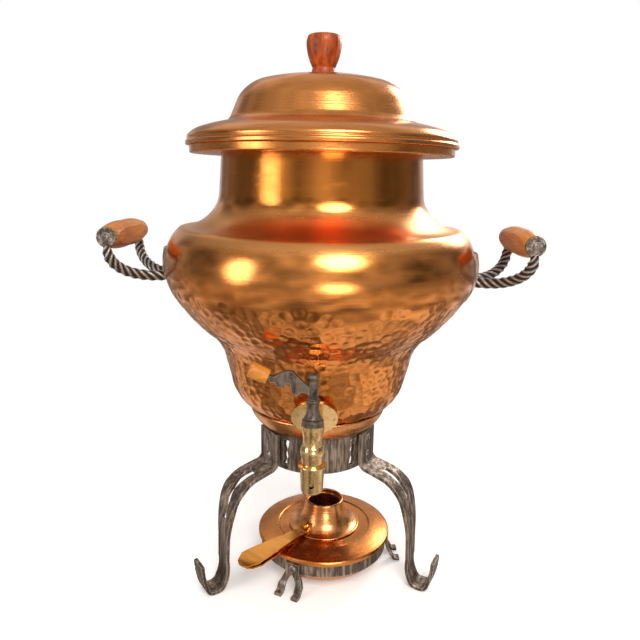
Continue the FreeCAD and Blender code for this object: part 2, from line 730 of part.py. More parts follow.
tap_body = tap_body_at("tap_body")
revolve(tap_body, outline(tap_body, "Barrel", "XZ_Plane", [
    ("0", "nozzle_bottom", "0"),
    ("nozzle_end_radius - 1.5", "nozzle_bottom", "80"),
    ("nozzle_end_radius", "nozzle_bottom + 1.8", "0"),
    ("nozzle_radius", "bead_z - bead_height", "0"),
    ("bead_radius", "bead_z - bead_height / 2 - 0.6", "80"),
    ("bead_radius", "bead_z - bead_height / 2 + 0.6", "0"),
    ("nozzle_radius - 1.0", "bead_z", "0"),
    ("barrel_bulge_radius", "barrel_bulge_z", "50"),
    ("barrel_waist_radius", "barrel_waist_z", "-30"),
    ("barrel_radius", "barrel_top - 3", "0"),
    ("barrel_radius", "barrel_top", "0"),
    ("0", "barrel_top", "0"),
]))
along_shank(tap_body, "Shank", ["tap_shank_radius"], "0", SEAT_RUN + " + tap_shank_inside")
revolve(tap_body, outline(tap_body, "PlugSeat", "XZ_Plane", [
    ("0", "nozzle_bottom - 1", "0"),
    ("nozzle_bore", "nozzle_bottom - 1", "0"),
    ("nozzle_bore", "plug_bottom - 0.5", "0"),
    ("plug_bottom_radius - 1.2", "plug_bottom - 0.5", "0"),
    ("plug_bottom_radius - 1.2", "plug_bottom - 0.2", "0"),
    ("plug_bottom_radius + plug_clearance", "plug_bottom - 0.2", "0"),
    ("plug_top_radius + plug_clearance", "barrel_top", "0"),
    ("plug_top_radius + plug_clearance", "barrel_top + 1", "0"),
    ("0", "barrel_top + 1", "0"),
]), cut=True)
along_shank(tap_body, "Inlet", ["tap_shank_bore"], "0", SEAT_RUN + " + tap_shank_inside + 2", cut=True)
extrude(tap_body, ring_sketch(tap_body, "Vent", "XZ_Plane", ["nozzle_vent_radius"], y="nozzle_vent_z"),
        "nozzle_radius + 2", cut=True, reverse=True)

tap_flange = tap_body_at("tap_flange")
flange_back = SEAT_RUN + " - tap_gasket_thickness"
along_shank(tap_flange, "FlangeDisc", ["tap_flange_radius", "tap_shank_radius"],
            flange_back + " - tap_flange_thickness", "tap_flange_thickness")

gasket_blank = doc.addObject("Part::Cylinder", "gasket_blank")
bind(gasket_blank, "Radius", "tap_gasket_radius")
bind(gasket_blank, "Height", "tap_gasket_thickness + 2")
gasket_blank.Placement = Placement(Vector(0, 0, 0), Rotation(Vector(1, 0, 0), -90))
bind(gasket_blank, "Placement.Rotation.Angle", "-(90 - tap_tilt)")
bind(gasket_blank, "Placement.Base.y", "-tap_reach + (%s) * cos(tap_tilt)" % flange_back)
bind(gasket_blank, "Placement.Base.z", "%s + (%s) * sin(tap_tilt)" % (TAP_MID, flange_back))
gasket_core = doc.addObject("Part::Cylinder", "gasket_core")
bind(gasket_core, "Radius", "tap_shank_radius")
bind(gasket_core, "Height", "tap_gasket_thickness + 20")
gasket_core.Placement = Placement(Vector(0, 0, 0), Rotation(Vector(1, 0, 0), -90))
bind(gasket_core, "Placement.Rotation.Angle", "-(90 - tap_tilt)")
bind(gasket_core, "Placement.Base.y", "-tap_reach + (%s - 8) * cos(tap_tilt)" % flange_back)
bind(gasket_core, "Placement.Base.z", "%s + (%s - 8) * sin(tap_tilt)" % (TAP_MID, flange_back))
gasket_ring = doc.addObject("Part::Cut", "gasket_ring")
gasket_ring.Base = gasket_blank
gasket_ring.Tool = gasket_core
gasket = doc.addObject("Part::Cut", "tap_gasket")
gasket.Label = "tap_gasket"
gasket.Base = gasket_ring
gasket.Tool = vessel_shell
nodes.append(gasket)
doc.recompute()

tap_nut = tap_body_at("tap_backnut")
nut_sketch = new_sketch(tap_nut, "NutHexagon", "XZ_Plane", tilt="tap_tilt", turn_axis=(1, 0, 0),
                        lift="-(%s + tap_nut_gap) * cos(tap_tilt)" % SEAT_RUN,
                        y="(%s + tap_nut_gap) * sin(tap_tilt)" % SEAT_RUN)
add_loop(nut_sketch, [("tap_nut_radius * cos(%d)" % angle, "tap_nut_radius * sin(%d)" % angle, "0")
                      for angle in range(0, 360, 60)])
extrude(tap_nut, nut_sketch, "tap_nut_thickness", reverse=True)
along_shank(tap_nut, "NutBore", ["tap_shank_radius"], SEAT_RUN + " + tap_nut_gap - 1",
            "tap_nut_thickness + 2", cut=True)

gland = tap_body_at("tap_gland_nut")
revolve(gland, outline(gland, "GlandTurned", "XZ_Plane", [
    ("plug_stem_radius + plug_clearance", "barrel_top + 0.2", "0"),
    ("gland_radius", "barrel_top + 0.2", "0"),
    ("gland_radius", "barrel_top + gland_height - 1.4", "40"),
    ("gland_radius - 1.2", "barrel_top + gland_height - 0.2", "0"),
    ("plug_stem_radius + plug_clearance", "barrel_top + gland_height - 0.2", "0"),
]))

plug = tap_body_at("tap_plug")
revolve(plug, outline(plug, "PlugTurned", "XZ_Plane", [
    ("0", "plug_bottom", "0"),
    ("plug_bottom_radius", "plug_bottom", "0"),
    ("plug_top_radius - %s * 0.2" % PLUG_SLOPE, "barrel_top - 0.2", "0"),
    ("plug_stem_radius", "barrel_top - 0.2", "0"),
    ("plug_stem_radius", "plug_stem_top", "0"),
    ("0", "plug_stem_top", "0"),
]))
revolve(plug, outline(plug, "PlugBore", "XZ_Plane",
                      rectangle("0", "plug_bore", "plug_bottom - 1", "plug_bore * 1.3")), cut=True)
extrude(plug, ring_sketch(plug, "PlugPort", "YZ_Plane", ["plug_bore"]), "plug_top_radius + 4", cut=True,
        reverse=True)

column = tap_body_at("tap_column")
revolve(column, outline(column, "ColumnTurned", "XZ_Plane", [
    ("plug_stem_radius", "column_foot_z", "0"),
    ("column_foot_radius", "column_foot_z", "0"),
    ("column_foot_radius", "column_foot_z + 0.8", "-40"),
    ("column_waist_radius", "column_waist_z", "0"),
    ("column_waist_radius", "column_ring_z - 1.1", "0"),
    ("column_ring_radius", "column_ring_z - 0.4", "70"),
    ("column_ring_radius", "column_ring_z + 0.8", "0"),
    ("column_radius", "column_ring_z + 1.6", "0"),
    ("column_radius", "column_top", "0"),
    ("0", "column_top", "0"),
    ("0", "plug_stem_top", "0"),
    ("plug_stem_radius", "plug_stem_top", "0"),
]))
cap = tap_body_at("tap_cap")
revolve(cap, outline(cap, "CapTurned", "XZ_Plane", [
    ("0", "column_top", "0"),
    ("column_radius - 0.9", "column_top", "0"),
    ("column_radius - 0.9", "column_top + 1.4", "0"),
    ("cap_radius", "column_top + 2.6", "40"),
    ("cap_radius", "column_top + 3.8", "60"),
    ("cap_radius - 1.0", "column_top + cap_height", "2 * atan(0.4 / (cap_radius - 1.0))"),
    ("0", "column_top + cap_height + 0.4", "0"),
]))

# Lever: a forged twig, hump and two drops, that ends in a wooden grip
lever = tap_body_at("tap_lever")
half = "lever_thickness / 2"
extrude(lever, outline(lever, "TwigOutline", "XZ_Plane", [
    ("-column_radius * 0.6", "lever_z + 2.6", "-10"),
    ("-lever_hump_x + 3", "lever_hump_z + 1.6", "60"),
    ("-lever_hump_x - 3.5", "lever_hump_z + 1.2", "20"),
    ("-lever_end_x + 3", "lever_end_z + 2.4", "-20"),
    ("-lever_end_x - 1.5", "lever_end_z + 3.0", "0"),
    ("-lever_end_x - 0.4", "lever_end_z - 1.6", "0"),
    ("-lever_end_x + 3.4", "lever_end_z - 1.8", "0"),
    ("-lever_end_x + 5.4", "lever_end_z - 4.6", "30"),
    ("-lever_end_x + 8.6", "lever_end_z - 5.6", "70"),
    ("-lever_end_x + 10.4", "lever_end_z - 2.6", "-120"),
    ("-lever_hump_x + 1.2", "lever_z + 4.4", "0"),
    ("-lever_hump_x + 2.6", "lever_z - 1.2", "50"),
    ("-lever_hump_x + 5.6", "lever_z - 2.8", "60"),
    ("-lever_hump_x + 8.2", "lever_z - 0.4", "-40"),
    ("-column_radius * 0.6", "lever_z - 2.6", "0"),
]), "lever_thickness", symmetric=True)
revolve(lever, outline(lever, "ColumnSeat", "XZ_Plane",
                       rectangle("0", "column_radius", "lever_z - 8", "lever_z + 8")), cut=True)

lever_grip = tap_body_at("tap_lever_grip")
revolve(lever_grip, outline(lever_grip, "LeverGripWood", "XZ_Plane", [
    ("2", "0", "0"),
    ("2 + lever_grip_length", "0", "0"),
    ("2 + lever_grip_length", "lever_grip_end_radius - 1.2", "70"),
    ("2 + lever_grip_length - 1.2", "lever_grip_end_radius", "4"),
    ("2", "lever_grip_radius", "0"),
], x="-lever_end_x", y="lever_end_z + 0.6", tilt="180 - lever_grip_slope"), axis="H_Axis")

# Stand ring: forged band with ragged slots beside each leg, in a frame where one leg points to -Y
def ragged(width, length, wave, x="0", y="0"):
    """An upright slot with uneven forged edges."""
    heights = (-0.5, -0.3, -0.12, 0.1, 0.28, 0.5)
    lefts = (-0.75, -0.35, -0.55, -0.3, -0.6, -0.4)
    rights = (0.5, 0.3, 0.6, 0.35, 0.65, 0.8)
    right_edge = [("%s + (%s) * %s" % (x, width, r * wave), "%s + (%s) * %s" % (y, length, f), "0")
                  for f, r in zip(heights, rights)]
    left_edge = [("%s + (%s) * %s" % (x, width, r * wave), "%s + (%s) * %s" % (y, length, f), "0")
                 for f, r in zip(heights, lefts)]
    return right_edge + left_edge[::-1]


RING_BOTTOM = "(ring_top - ring_height)"
ring = new_body("stand_ring", spin="stand_turn - 60")
extrude(ring, ring_sketch(ring, "RingBand", "XY_Plane", ["ring_radius", "ring_radius - ring_thickness"],
                          lift=RING_BOTTOM), "ring_height")
slots = extrude(ring, outline(ring, "RingSlots", "XZ_Plane",
                              ragged("ring_slot_width", "ring_slot_height", 1, "ring_slot_offset",
                                     "ring_top - ring_height / 2"),
                              ragged("-ring_slot_width", "-ring_slot_height", 1, "-ring_slot_offset",
                                     "ring_top - ring_height / 2")),
                "ring_radius + 5", cut=True, reverse=True)
ring_holes = [
    extrude(ring, ring_sketch(ring, "RingHole" + which, "XZ_Plane", ["rivet_radius"], y=height),
            "ring_radius + 5", cut=True, reverse=True)
    for which, height in (("Low", "leg_rivet_low"), ("High", "leg_rivet_high"))
]
repeat_round(ring, [slots] + ring_holes, 3)


def strap(label, faces, width, waste, waste_role, spin, **place):
    """A bent strap: its side outline pushed to full width, then trimmed to its front outline."""
    body = new_body(label, spin=spin, **place)
    extrude(body, outline(body, "StrapSide", "XZ_Plane", faces), width, symmetric=True)
    extrude(body, outline(body, "StrapTrim", waste_role, *waste), "400", cut=True, symmetric=True)
    return body


# Legs: forged straps riveted outside the ring, pierced at the knee, with curled and grooved toes
CENTRE = "ring_radius + leg_thickness"
leg_stations = [
    (CENTRE, "ring_top - 0.5", "0", "0"),
    (CENTRE, RING_BOTTOM + " + 4", "0", "68"),
    ("ring_radius + 9", RING_BOTTOM + " - 0.2", "70", "0"),
    ("ring_radius + 20", RING_BOTTOM + " - 3.4", "76", "-58"),
    ("leg_knee_x + 1.4", "leg_knee_z + 0.4", "18", "-14"),
    ("leg_shin_x + leg_thickness / 2", "leg_shin_z", "4", "0"),
    ("leg_shin_x + leg_thickness / 2 + 0.6", "leg_shin_z - 20", "0", "38"),
    ("leg_sole_x - 4.1", "leg_thickness + 2.5", "38", "52"),
    ("leg_sole_x", "leg_thickness", "90", "0"),
    ("leg_sole_x + leg_sole_length", "leg_thickness", "90", "64"),
    ("leg_sole_x + leg_sole_length + 3.9", "leg_thickness + 2.6", "154", "18"),
    ("leg_toe_x - 1.5", "leg_toe_z", "172", "0"),
]
leg_outer, leg_inner = wall_faces(leg_stations, "leg_thickness")


def half_outline(sign):
    """Waste beside one edge of the leg, seen from the front."""
    turn_up = [("leg_toe_width / 2", "-1"), ("leg_toe_width / 2", "8"), ("leg_ankle_width / 2", "22"),
               ("leg_ankle_width / 2 + 0.6", "leg_shin_z"), ("leg_knee_width / 2 - 2.2", "leg_knee_z - 9"),
               ("leg_knee_width / 2", "leg_knee_z + 10"), ("leg_top_width / 2", RING_BOTTOM + " + 2"),
               ("leg_top_width / 2", "ring_top + 1")]
    far = "leg_knee_width / 2 + 4"
    edge = turn_up + [(far, "ring_top + 1"), (far, "-1")]
    return [("(%s) * %d" % (x, sign), y, "0") for x, y in edge]


for label, azimuth in (("front_left", "-60"), ("front_right", "60"), ("rear", "180")):
    leg = strap("stand_leg_" + label, leg_outer + leg_inner, "leg_knee_width + 4",
                [half_outline(1), half_outline(-1)], "YZ_Plane", "stand_turn + %s - 90" % azimuth)
    for which, height in (("Low", "leg_rivet_low"), ("High", "leg_rivet_high")):
        extrude(leg, ring_sketch(leg, "LegHole" + which, "YZ_Plane", ["rivet_radius"], y=height),
                "ring_radius + 20", cut=True, reverse=True)
    extrude(leg, outline(leg, "KneeSlot", "YZ_Plane", ragged("leg_slot_width", "leg_slot_length", 1),
                         tilt="-leg_slot_tilt", turn_axis=(1, 0, 0), lift="leg_slot_x", y="leg_slot_z"),
            "24", cut=True, symmetric=True)
    for number in range(4):
        extrude(leg, outline(leg, "ToeGroove%d" % number, "XZ_Plane", [
            ("leg_toe_x + 1.2", "leg_toe_z - 2.4 - %d" % (4 * number), "0"),
            ("leg_toe_x + 1.2", "leg_toe_z - 4.6 - %d" % (4 * number), "0"),
            ("leg_toe_x + 0.7 - %s" % (0.62 * number), "leg_toe_z - 3.5 - %d" % (4 * number), "0"),
        ]), "leg_toe_width + 4", cut=True, symmetric=True)

stand_rivets = new_body("stand_rivets", spin="stand_turn + 60 - 90")
rivet_turns = []
for which, height in (("Low", "leg_rivet_low"), ("High", "leg_rivet_high")):
    profile = round_head("rivet_radius", "rivet_head_radius", "rivet_head_height", RING_BORE,
                         "ring_radius + leg_thickness", False)
    rivet_turns.append(revolve(stand_rivets, outline(stand_rivets, "StandRivet" + which, "XZ_Plane",
                                                     profile, y=height), axis="H_Axis"))
repeat_round(stand_rivets, rivet_turns, 3)


def burner_body(label, spin=None):
    return new_body(label, x="burner_x", y="burner_y", spin=spin)


# Burner stand: iron band on three forked feet
band = burner_body("burner_ring", spin="burner_turn")
extrude(band, ring_sketch(band, "BandRound", "XY_Plane", ["band_radius", "band_radius - band_thickness"],
                          lift="band_bottom"), "band_top - band_bottom")
band_hole = extrude(band, ring_sketch(band, "BandHole", "XZ_Plane", ["small_rivet_radius"],
                                      y="band_rivet_z"), "band_radius + 5", cut=True, reverse=True)
repeat_round(band, [band_hole], 3)

FOOT_OUT = "band_radius + foot_thickness"
foot_stations = [
    (FOOT_OUT, "band_top - 0.6", "0", "0"),
    (FOOT_OUT, "band_bottom + 0.5", "0", "34"),
    ("band_radius + 5", "band_bottom - 7", "34", "0"),
    ("foot_reach - 4.4", "foot_thickness + 0.6", "50", "36"),
    ("foot_reach - 1.4", "foot_thickness", "90", "0"),
    ("foot_reach", "foot_thickness", "90", "0"),
]
foot_outer, foot_inner = wall_faces(foot_stations, "foot_thickness")
inner_spread = "(foot_spread / 2 - foot_prong)"
foot_waste = [
    [("foot_root_width / 2", "band_bottom + 2", "0"), ("foot_spread / 2 + 0.5", "band_bottom - 9", "0"),
     ("foot_spread / 2", "-1", "0"), ("foot_spread / 2 + 6", "-1", "0"),
     ("foot_spread / 2 + 6", "band_top + 1", "0"), ("foot_root_width / 2", "band_top + 1", "0")],
    [("-foot_root_width / 2", "band_bottom + 2", "0"), ("-foot_spread / 2 - 0.5", "band_bottom - 9", "0"),
     ("-foot_spread / 2", "-1", "0"), ("-foot_spread / 2 - 6", "-1", "0"),
     ("-foot_spread / 2 - 6", "band_top + 1", "0"), ("-foot_root_width / 2", "band_top + 1", "0")],
    [("-" + inner_spread, "-1", "0"), (inner_spread, "-1", "0"),
     (inner_spread, "band_bottom - 8", "30"), ("0", "band_bottom - 1", "30"),
     ("-" + inner_spread, "band_bottom - 8", "0")],
]
for label, azimuth in (("front", "0"), ("right", "120"), ("rear", "240")):
    foot = strap("burner_foot_" + label, foot_outer + foot_inner, "foot_spread + 8", foot_waste,
                 "YZ_Plane", "burner_turn + %s - 90" % azimuth, x="burner_x", y="burner_y")
    extrude(foot, ring_sketch(foot, "FootHole", "YZ_Plane", ["small_rivet_radius"], y="band_rivet_z"),
            "band_radius + 20", cut=True, reverse=True)

band_rivets = burner_body("burner_rivets", spin="burner_turn - 90")
profile = round_head("small_rivet_radius", "small_rivet_head", "1.2", "band_radius - band_thickness",
                     FOOT_OUT, False)
band_rivet = revolve(band_rivets, outline(band_rivets, "BandRivet", "XZ_Plane", profile, y="band_rivet_z"),
                     axis="H_Axis")
repeat_round(band_rivets, [band_rivet], 3)

# Burner bowl: spun copper, hangs in the band by its turned-out rim
bowl_out = "band_radius - band_thickness - bowl_clearance"
bowl = burner_body("burner_bowl")
bowl_outer, bowl_inner = wall_faces([
    ("0", "burner_bowl_floor", "-90", "0"),
    ("burner_bowl_bottom_radius", "burner_bowl_floor", "-85", "70"),
    (bowl_out, "band_bottom", "-6", "0"),
    (bowl_out, "band_top", "0", "0"),
], "copper_wall")
revolve(bowl, outline(bowl, "BowlWall", "XZ_Plane", bowl_outer[:-1] + [
    (bowl_out, "band_top", "0"),
    ("band_radius + 0.8", "band_top", "0"),
    ("band_radius + 0.8", "band_top + copper_wall", "0"),
    (bowl_out + " - copper_wall", "band_top + copper_wall", "0"),
] + bowl_inner[1:]))

# Wool that soaks up the spirit, and the wire gauze over it
wool = burner_body("burner_wool")
revolve(wool, outline(wool, "WoolPad", "XZ_Plane", [
    ("0", "burner_bowl_floor + copper_wall", "0"),
    ("wool_radius", "burner_bowl_floor + copper_wall", "40"),
    ("wool_radius + 2", "wool_top - 8", "40"),
    ("wool_radius - 8", "wool_top", "0"),
    ("0", "wool_top", "0"),
]))
gauze = burner_body("burner_gauze")
extrude(gauze, ring_sketch(gauze, "GauzeDisc", "XY_Plane", ["gauze_radius"], lift="wool_top"),
        "gauze_thickness")

# Burner cover: rolled edge, sloping top with a crease, and the upright tube for the flame
handle_spin = "handle_azimuth - 90"
cover = burner_body("burner_cover", spin=handle_spin)
RIM_TOP = "(band_top + copper_wall)"
revolve(cover, outline(cover, "CoverWall", "XZ_Plane", [
    ("band_radius - 4", RIM_TOP, "0"),
    ("band_radius + cover_overhang - 1.6", RIM_TOP, "90"),
    ("band_radius + cover_overhang", RIM_TOP + " + 1.6", "0"),
    ("band_radius + cover_overhang", "cover_edge_top - 1.4", "80"),
    ("band_radius + cover_overhang - 1.6", "cover_edge_top", "8"),
    ("cover_crease_radius", "cover_crease_z", "0"),
    ("cover_crease_radius - 1.0", "cover_crease_z - 0.9", "0"),
    ("cover_well_radius", "cover_well_z", "0"),
    ("tube_radius + 2", "cover_well_z", "-90"),
    ("tube_radius", "cover_well_z + 2", "0"),
    ("tube_radius", "tube_top", "0"),
    ("tube_radius - copper_wall", "tube_top", "0"),
    ("tube_radius - copper_wall", "cover_well_z", "80"),
    ("tube_radius + 1", "cover_well_z - copper_wall", "0"),
    ("cover_crease_radius - 1", "cover_crease_z - 0.9 - copper_wall", "0"),
    ("band_radius + cover_overhang - 3", "cover_edge_top - copper_wall - 0.2", "0"),
    ("band_radius + cover_overhang - 3", RIM_TOP + " + 1.0", "0"),
    ("band_radius - 4", RIM_TOP + " + 1.0", "0"),
]))
COVER_RIVET = "(cover_crease_radius + 0.9)"
cross_bore(cover, "CoverRivetHole", "XZ_Plane", "small_rivet_radius", "cover_edge_top - 3",
           "cover_crease_z + 3", x=COVER_RIVET, tilt="90")

# Regulator: flared cone that turns on the tube, with its own handle
CONE_BASE = "(cover_well_z + cone_lift)"
cone = burner_body("regulator_cone", spin=handle_spin)
tube_bore = "tube_radius + cone_clearance"
cone_outer, cone_inner = wall_faces([
    ("cone_base_radius", CONE_BASE + " + copper_wall", "80", "-50"),
    ("cone_waist_radius", "cone_waist_z", "24", "-18"),
    ("cone_top_radius", "cone_top - 1.0", "0", "0"),
], "copper_wall")
revolve(cone, outline(cone, "ConeWall", "XZ_Plane", [
    ("cone_base_radius", CONE_BASE, "60"),
    ("cone_base_radius + 1.6", CONE_BASE + " + copper_wall / 2", "90"),
] + cone_outer + [
    ("cone_top_radius - 0.5", "cone_top", "0"),
    (tube_bore, "cone_top", "0"),
    (tube_bore, "cone_top - 5.5", "0"),
] + cone_inner[1:]))


FLARE_X = "((cone_base_radius + cone_waist_radius) / 2 - 1.15)"
FLARE_Z = "((%s + copper_wall + cone_waist_z) / 2 - 1.2)" % CONE_BASE
cross_bore(cone, "ConeRivetHole", "XZ_Plane", "small_rivet_radius", "-4", "4", x=FLARE_X, y=FLARE_Z,
           tilt="flare_lean")


def on_flare(along, out):
    """A point beside the middle of the cone's flare: along is up its slope, out is off its face."""
    return ("%s + (%s) * cos(flare_lean) - (%s) * sin(flare_lean)" % (FLARE_X, out, along),
            "%s + (%s) * sin(flare_lean) + (%s) * cos(flare_lean)" % (FLARE_Z, out, along))


def leaf(label, stations, root_x, end_x):
    """A leaf-shaped handle: narrow neck that widens to a rounded end."""
    faces, back = wall_faces(stations, "handle_thickness")
    waste = []
    for sign in (1, -1):
        edge = [(root_x + " - 3", "handle_neck / 2"), (root_x + " + 14", "handle_neck / 2"),
                (end_x + " - 26", "handle_width / 2 - 1"), (end_x + " - 10", "handle_width / 2"),
                (end_x + " - 2.4", "handle_width / 2 - 4"), (end_x, "2"), (end_x + " + 2", "2"),
                (end_x + " + 2", "handle_width / 2 + 3"), (root_x + " - 3", "handle_width / 2 + 3")]
        waste.append([(x, "(%s) * %d" % (y, sign), "0") for x, y in edge])
    return strap(label, faces + back, "handle_width + 4", waste, "XY_Plane", handle_spin,
                 x="burner_x", y="burner_y")


# Handle of the cover: lies on the crease, riveted through the cover
SEAT_TOP = "(cover_crease_z + 0.1 + handle_thickness)"
cover_handle = leaf("burner_cover_handle", [
    ("cover_crease_radius - 3.5", SEAT_TOP, "90", "0"),
    ("cover_crease_radius + 4", SEAT_TOP, "90", "0"),
    ("cover_handle_end - 16", "cover_handle_z", "90", "-12"),
    ("cover_handle_end", "cover_handle_z - 1.6", "78", "0"),
], "cover_crease_radius - 3.5", "cover_handle_end")
cross_bore(cover_handle, "HandleHole", "XZ_Plane", "small_rivet_radius", "cover_edge_top - 3",
           SEAT_TOP + " + 3", x=COVER_RIVET, tilt="90")
cover_rivet = burner_body("burner_cover_rivet", spin=handle_spin)
revolve(cover_rivet, outline(cover_rivet, "CoverRivet", "XZ_Plane",
                             round_head("small_rivet_radius", "small_rivet_head", "1.2",
                                        "cover_crease_z - copper_wall - 1.75", SEAT_TOP + " + 0.1", True),
                             x=COVER_RIVET, tilt="90"), axis="H_Axis")

# Handle of the regulator: its root lies on the cone's flare and is riveted there
SEAT_OUT = "handle_thickness + 0.35"
root_x, root_z = on_flare("3.4", SEAT_OUT)
bend_x, bend_z = on_flare("-3.0", SEAT_OUT)
regulator_handle = leaf("regulator_handle", [
    (root_x, root_z, "flare_lean", "0"),
    (bend_x, bend_z, "flare_lean", "40"),
    ("cone_base_radius + 4", "regulator_handle_z - 3.2", "92", "0"),
    ("regulator_handle_end - 16", "regulator_handle_z", "90", "-12"),
    ("regulator_handle_end", "regulator_handle_z - 1.6", "78", "0"),
], "cone_base_radius - 9", "regulator_handle_end")
cross_bore(regulator_handle, "HandleHole", "XZ_Plane", "small_rivet_radius", "-4", "6", x=FLARE_X,
           y=FLARE_Z, tilt="flare_lean")
cone_rivet = burner_body("regulator_rivet", spin=handle_spin)
revolve(cone_rivet, outline(cone_rivet, "ConeRivet", "XZ_Plane",
                            round_head("small_rivet_radius", "small_rivet_head", "1.2",
                                       "-copper_wall - 0.3", SEAT_OUT + " + 0.1", True),
                            x=FLARE_X, y=FLARE_Z, tilt="flare_lean"), axis="H_Axis")


def check_model():
    """Names of failed objects, cuts that cut nothing and sub-parts with no sound solid."""
    bad = [item.Name for item in doc.Objects if "Invalid" in item.State or "Error" in item.State]
    bad += ["%s.%s" % (label, name) for label, name, before, after in cuts if after > before - 0.001]
    bad += [node.Label for node in nodes if node.Shape.isNull() or not node.Shape.isValid()]
    return bad


doc.recompute()
faults = check_model()
if faults:
    raise SystemExit("failed: " + ", ".join(faults))
os.makedirs("parts", exist_ok=True)
for node in nodes:
    node.Shape.exportStep("parts/%s.step" % node.Label)
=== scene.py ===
import math

import bpy
import numpy as np
from mathutils import Matrix, Vector


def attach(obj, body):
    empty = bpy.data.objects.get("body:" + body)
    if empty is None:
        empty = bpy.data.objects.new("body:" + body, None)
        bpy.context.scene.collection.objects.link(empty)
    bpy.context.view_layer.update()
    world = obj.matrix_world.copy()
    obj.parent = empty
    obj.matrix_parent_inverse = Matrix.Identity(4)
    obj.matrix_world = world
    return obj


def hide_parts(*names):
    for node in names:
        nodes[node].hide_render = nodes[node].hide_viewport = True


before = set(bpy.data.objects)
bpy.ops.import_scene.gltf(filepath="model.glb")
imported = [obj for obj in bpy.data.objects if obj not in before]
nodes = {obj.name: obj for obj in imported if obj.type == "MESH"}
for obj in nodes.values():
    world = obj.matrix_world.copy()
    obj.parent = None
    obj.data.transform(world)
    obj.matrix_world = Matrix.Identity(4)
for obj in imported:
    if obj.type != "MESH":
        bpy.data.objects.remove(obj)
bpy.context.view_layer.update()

# Camera: half a metre in front of the tap side and level with the neck, looking down a little and
# tipped slightly to the right, as the photograph was taken. Its lens is as long as a phone's.
CAMERA_PLACE = Vector((0.015, -0.500, 0.335))
CAMERA_DOWN = math.radians(13.22)
CAMERA_YAW = math.radians(-1.63)
CAMERA_ROLL = math.radians(1.09)
LENS_IN_PIXELS = 615
FRAME_PIXELS = 640
SENSOR = 36.0

ahead = Vector((math.sin(CAMERA_YAW) * math.cos(CAMERA_DOWN),
                math.cos(CAMERA_YAW) * math.cos(CAMERA_DOWN), -math.sin(CAMERA_DOWN)))
level = Vector((math.cos(CAMERA_YAW), -math.sin(CAMERA_YAW), 0))
upward = level.cross(ahead)
right = level * math.cos(CAMERA_ROLL) + upward * math.sin(CAMERA_ROLL)
top = upward * math.cos(CAMERA_ROLL) - level * math.sin(CAMERA_ROLL)
camera_data = bpy.data.cameras.new("camera")
camera_data.sensor_width = SENSOR
camera_data.lens = SENSOR * LENS_IN_PIXELS / FRAME_PIXELS
camera_data.clip_start = 0.01
camera = bpy.data.objects.new("camera", camera_data)
bpy.context.scene.collection.objects.link(camera)
turned_axes = Matrix((right, top, -ahead)).transposed().to_4x4()
camera.matrix_world = Matrix.Translation(CAMERA_PLACE) @ turned_axes
bpy.context.scene.camera = camera
bpy.context.scene.view_settings.view_transform = "Standard"


# Floor and studio: a pale table top that fades into a white background, and four soft lamps.
# Metal sees a bright front and back, darker sides, and soft shapes as in a furnished room.
def add(tree, kind, inputs=None, **settings):
    """One shader node. settings are its own properties, and inputs its sockets by name or number,
    each a value or the socket of another node."""
    made = tree.nodes.new("ShaderNode" + kind)
    for name, value in settings.items():
        setattr(made, name, value)
    for name, value in (inputs or {}).items():
        if isinstance(value, bpy.types.NodeSocket):
            tree.links.new(value, made.inputs[name])
        else:
            made.inputs[name].default_value = value
    return made


def ramp(tree, factor, *stops):
    """Colours along a factor from 0 to 1: each stop is (place, red, green, blue)."""
    made = add(tree, "ValToRGB", {0: factor})
    elements = made.color_ramp.elements
    while len(elements) < len(stops):
        elements.new(1.0)
    for element, (place, red, green, blue) in zip(elements, stops):
        element.position = place
        element.color = (red, green, blue, 1)
    return made.outputs[0]


def steps(tree, factor, *stops):
    """A grey value along a factor from 0 to 1: each stop is (place, value)."""
    return ramp(tree, factor, *[(place, value, value, value) for place, value in stops])


def maths(tree, operation, first, second=0.0):
    """The result of one operation on two values, each a number or a socket."""
    return add(tree, "Math", {0: first, 1: second}, operation=operation).outputs[0]


def blended(tree, factor, first, second):
    """The first colour where the factor is 0, and the second where it is 1."""
    return add(tree, "Mix", {0: factor, 6: first, 7: second}, data_type="RGBA").outputs[2]


def either(tree, factor, first, second):
    """The first shader where the factor is 0, and the second where it is 1."""
    return add(tree, "MixShader", {0: factor, 1: first.outputs[0], 2: second.outputs[0]})


WHITE = (1.0, 1.0, 1.0)
ROOM_TINT = (1.0, 0.97, 0.93)
SOFT_TINT = (1.0, 0.98, 0.96)
SOFT_LIGHT = 0.62
world = bpy.data.worlds.new("studio")
bpy.context.scene.world = world
world.use_nodes = True
sky = world.node_tree
sky.nodes.clear()
towards = add(sky, "TexCoord").outputs["Generated"]
split = add(sky, "SeparateXYZ", {0: towards})
front_back = maths(sky, "ABSOLUTE", split.outputs[1])
room = add(sky, "TexNoise", {0: towards, "Scale": 3.6, "Detail": 4.0, "Roughness": 0.6}).outputs[0]
bright_band = steps(sky, front_back, (0.0, 0.14), (0.45, 0.26), (0.8, 0.55), (1.0, 0.68))
shapes = steps(sky, room, (0.38, 0.18), (0.5, 0.75), (0.58, 1.35))
ceiling = steps(sky, split.outputs[2], (0.35, 0.0), (0.75, 0.34))
mirrored = maths(sky, "ADD", maths(sky, "MULTIPLY", bright_band, shapes), ceiling)
rays = add(sky, "LightPath")
metal_sees = add(sky, "Background", {0: (*ROOM_TINT, 1), 1: mirrored})
camera_sees = add(sky, "Background", {0: (*WHITE, 1), 1: 1.0})
plain = add(sky, "Background", {0: (*SOFT_TINT, 1), 1: SOFT_LIGHT})
lit = either(sky, rays.outputs["Is Glossy Ray"], plain, metal_sees)
both = either(sky, rays.outputs["Is Camera Ray"], lit, camera_sees)
add(sky, "OutputWorld", {0: both.outputs[0]})

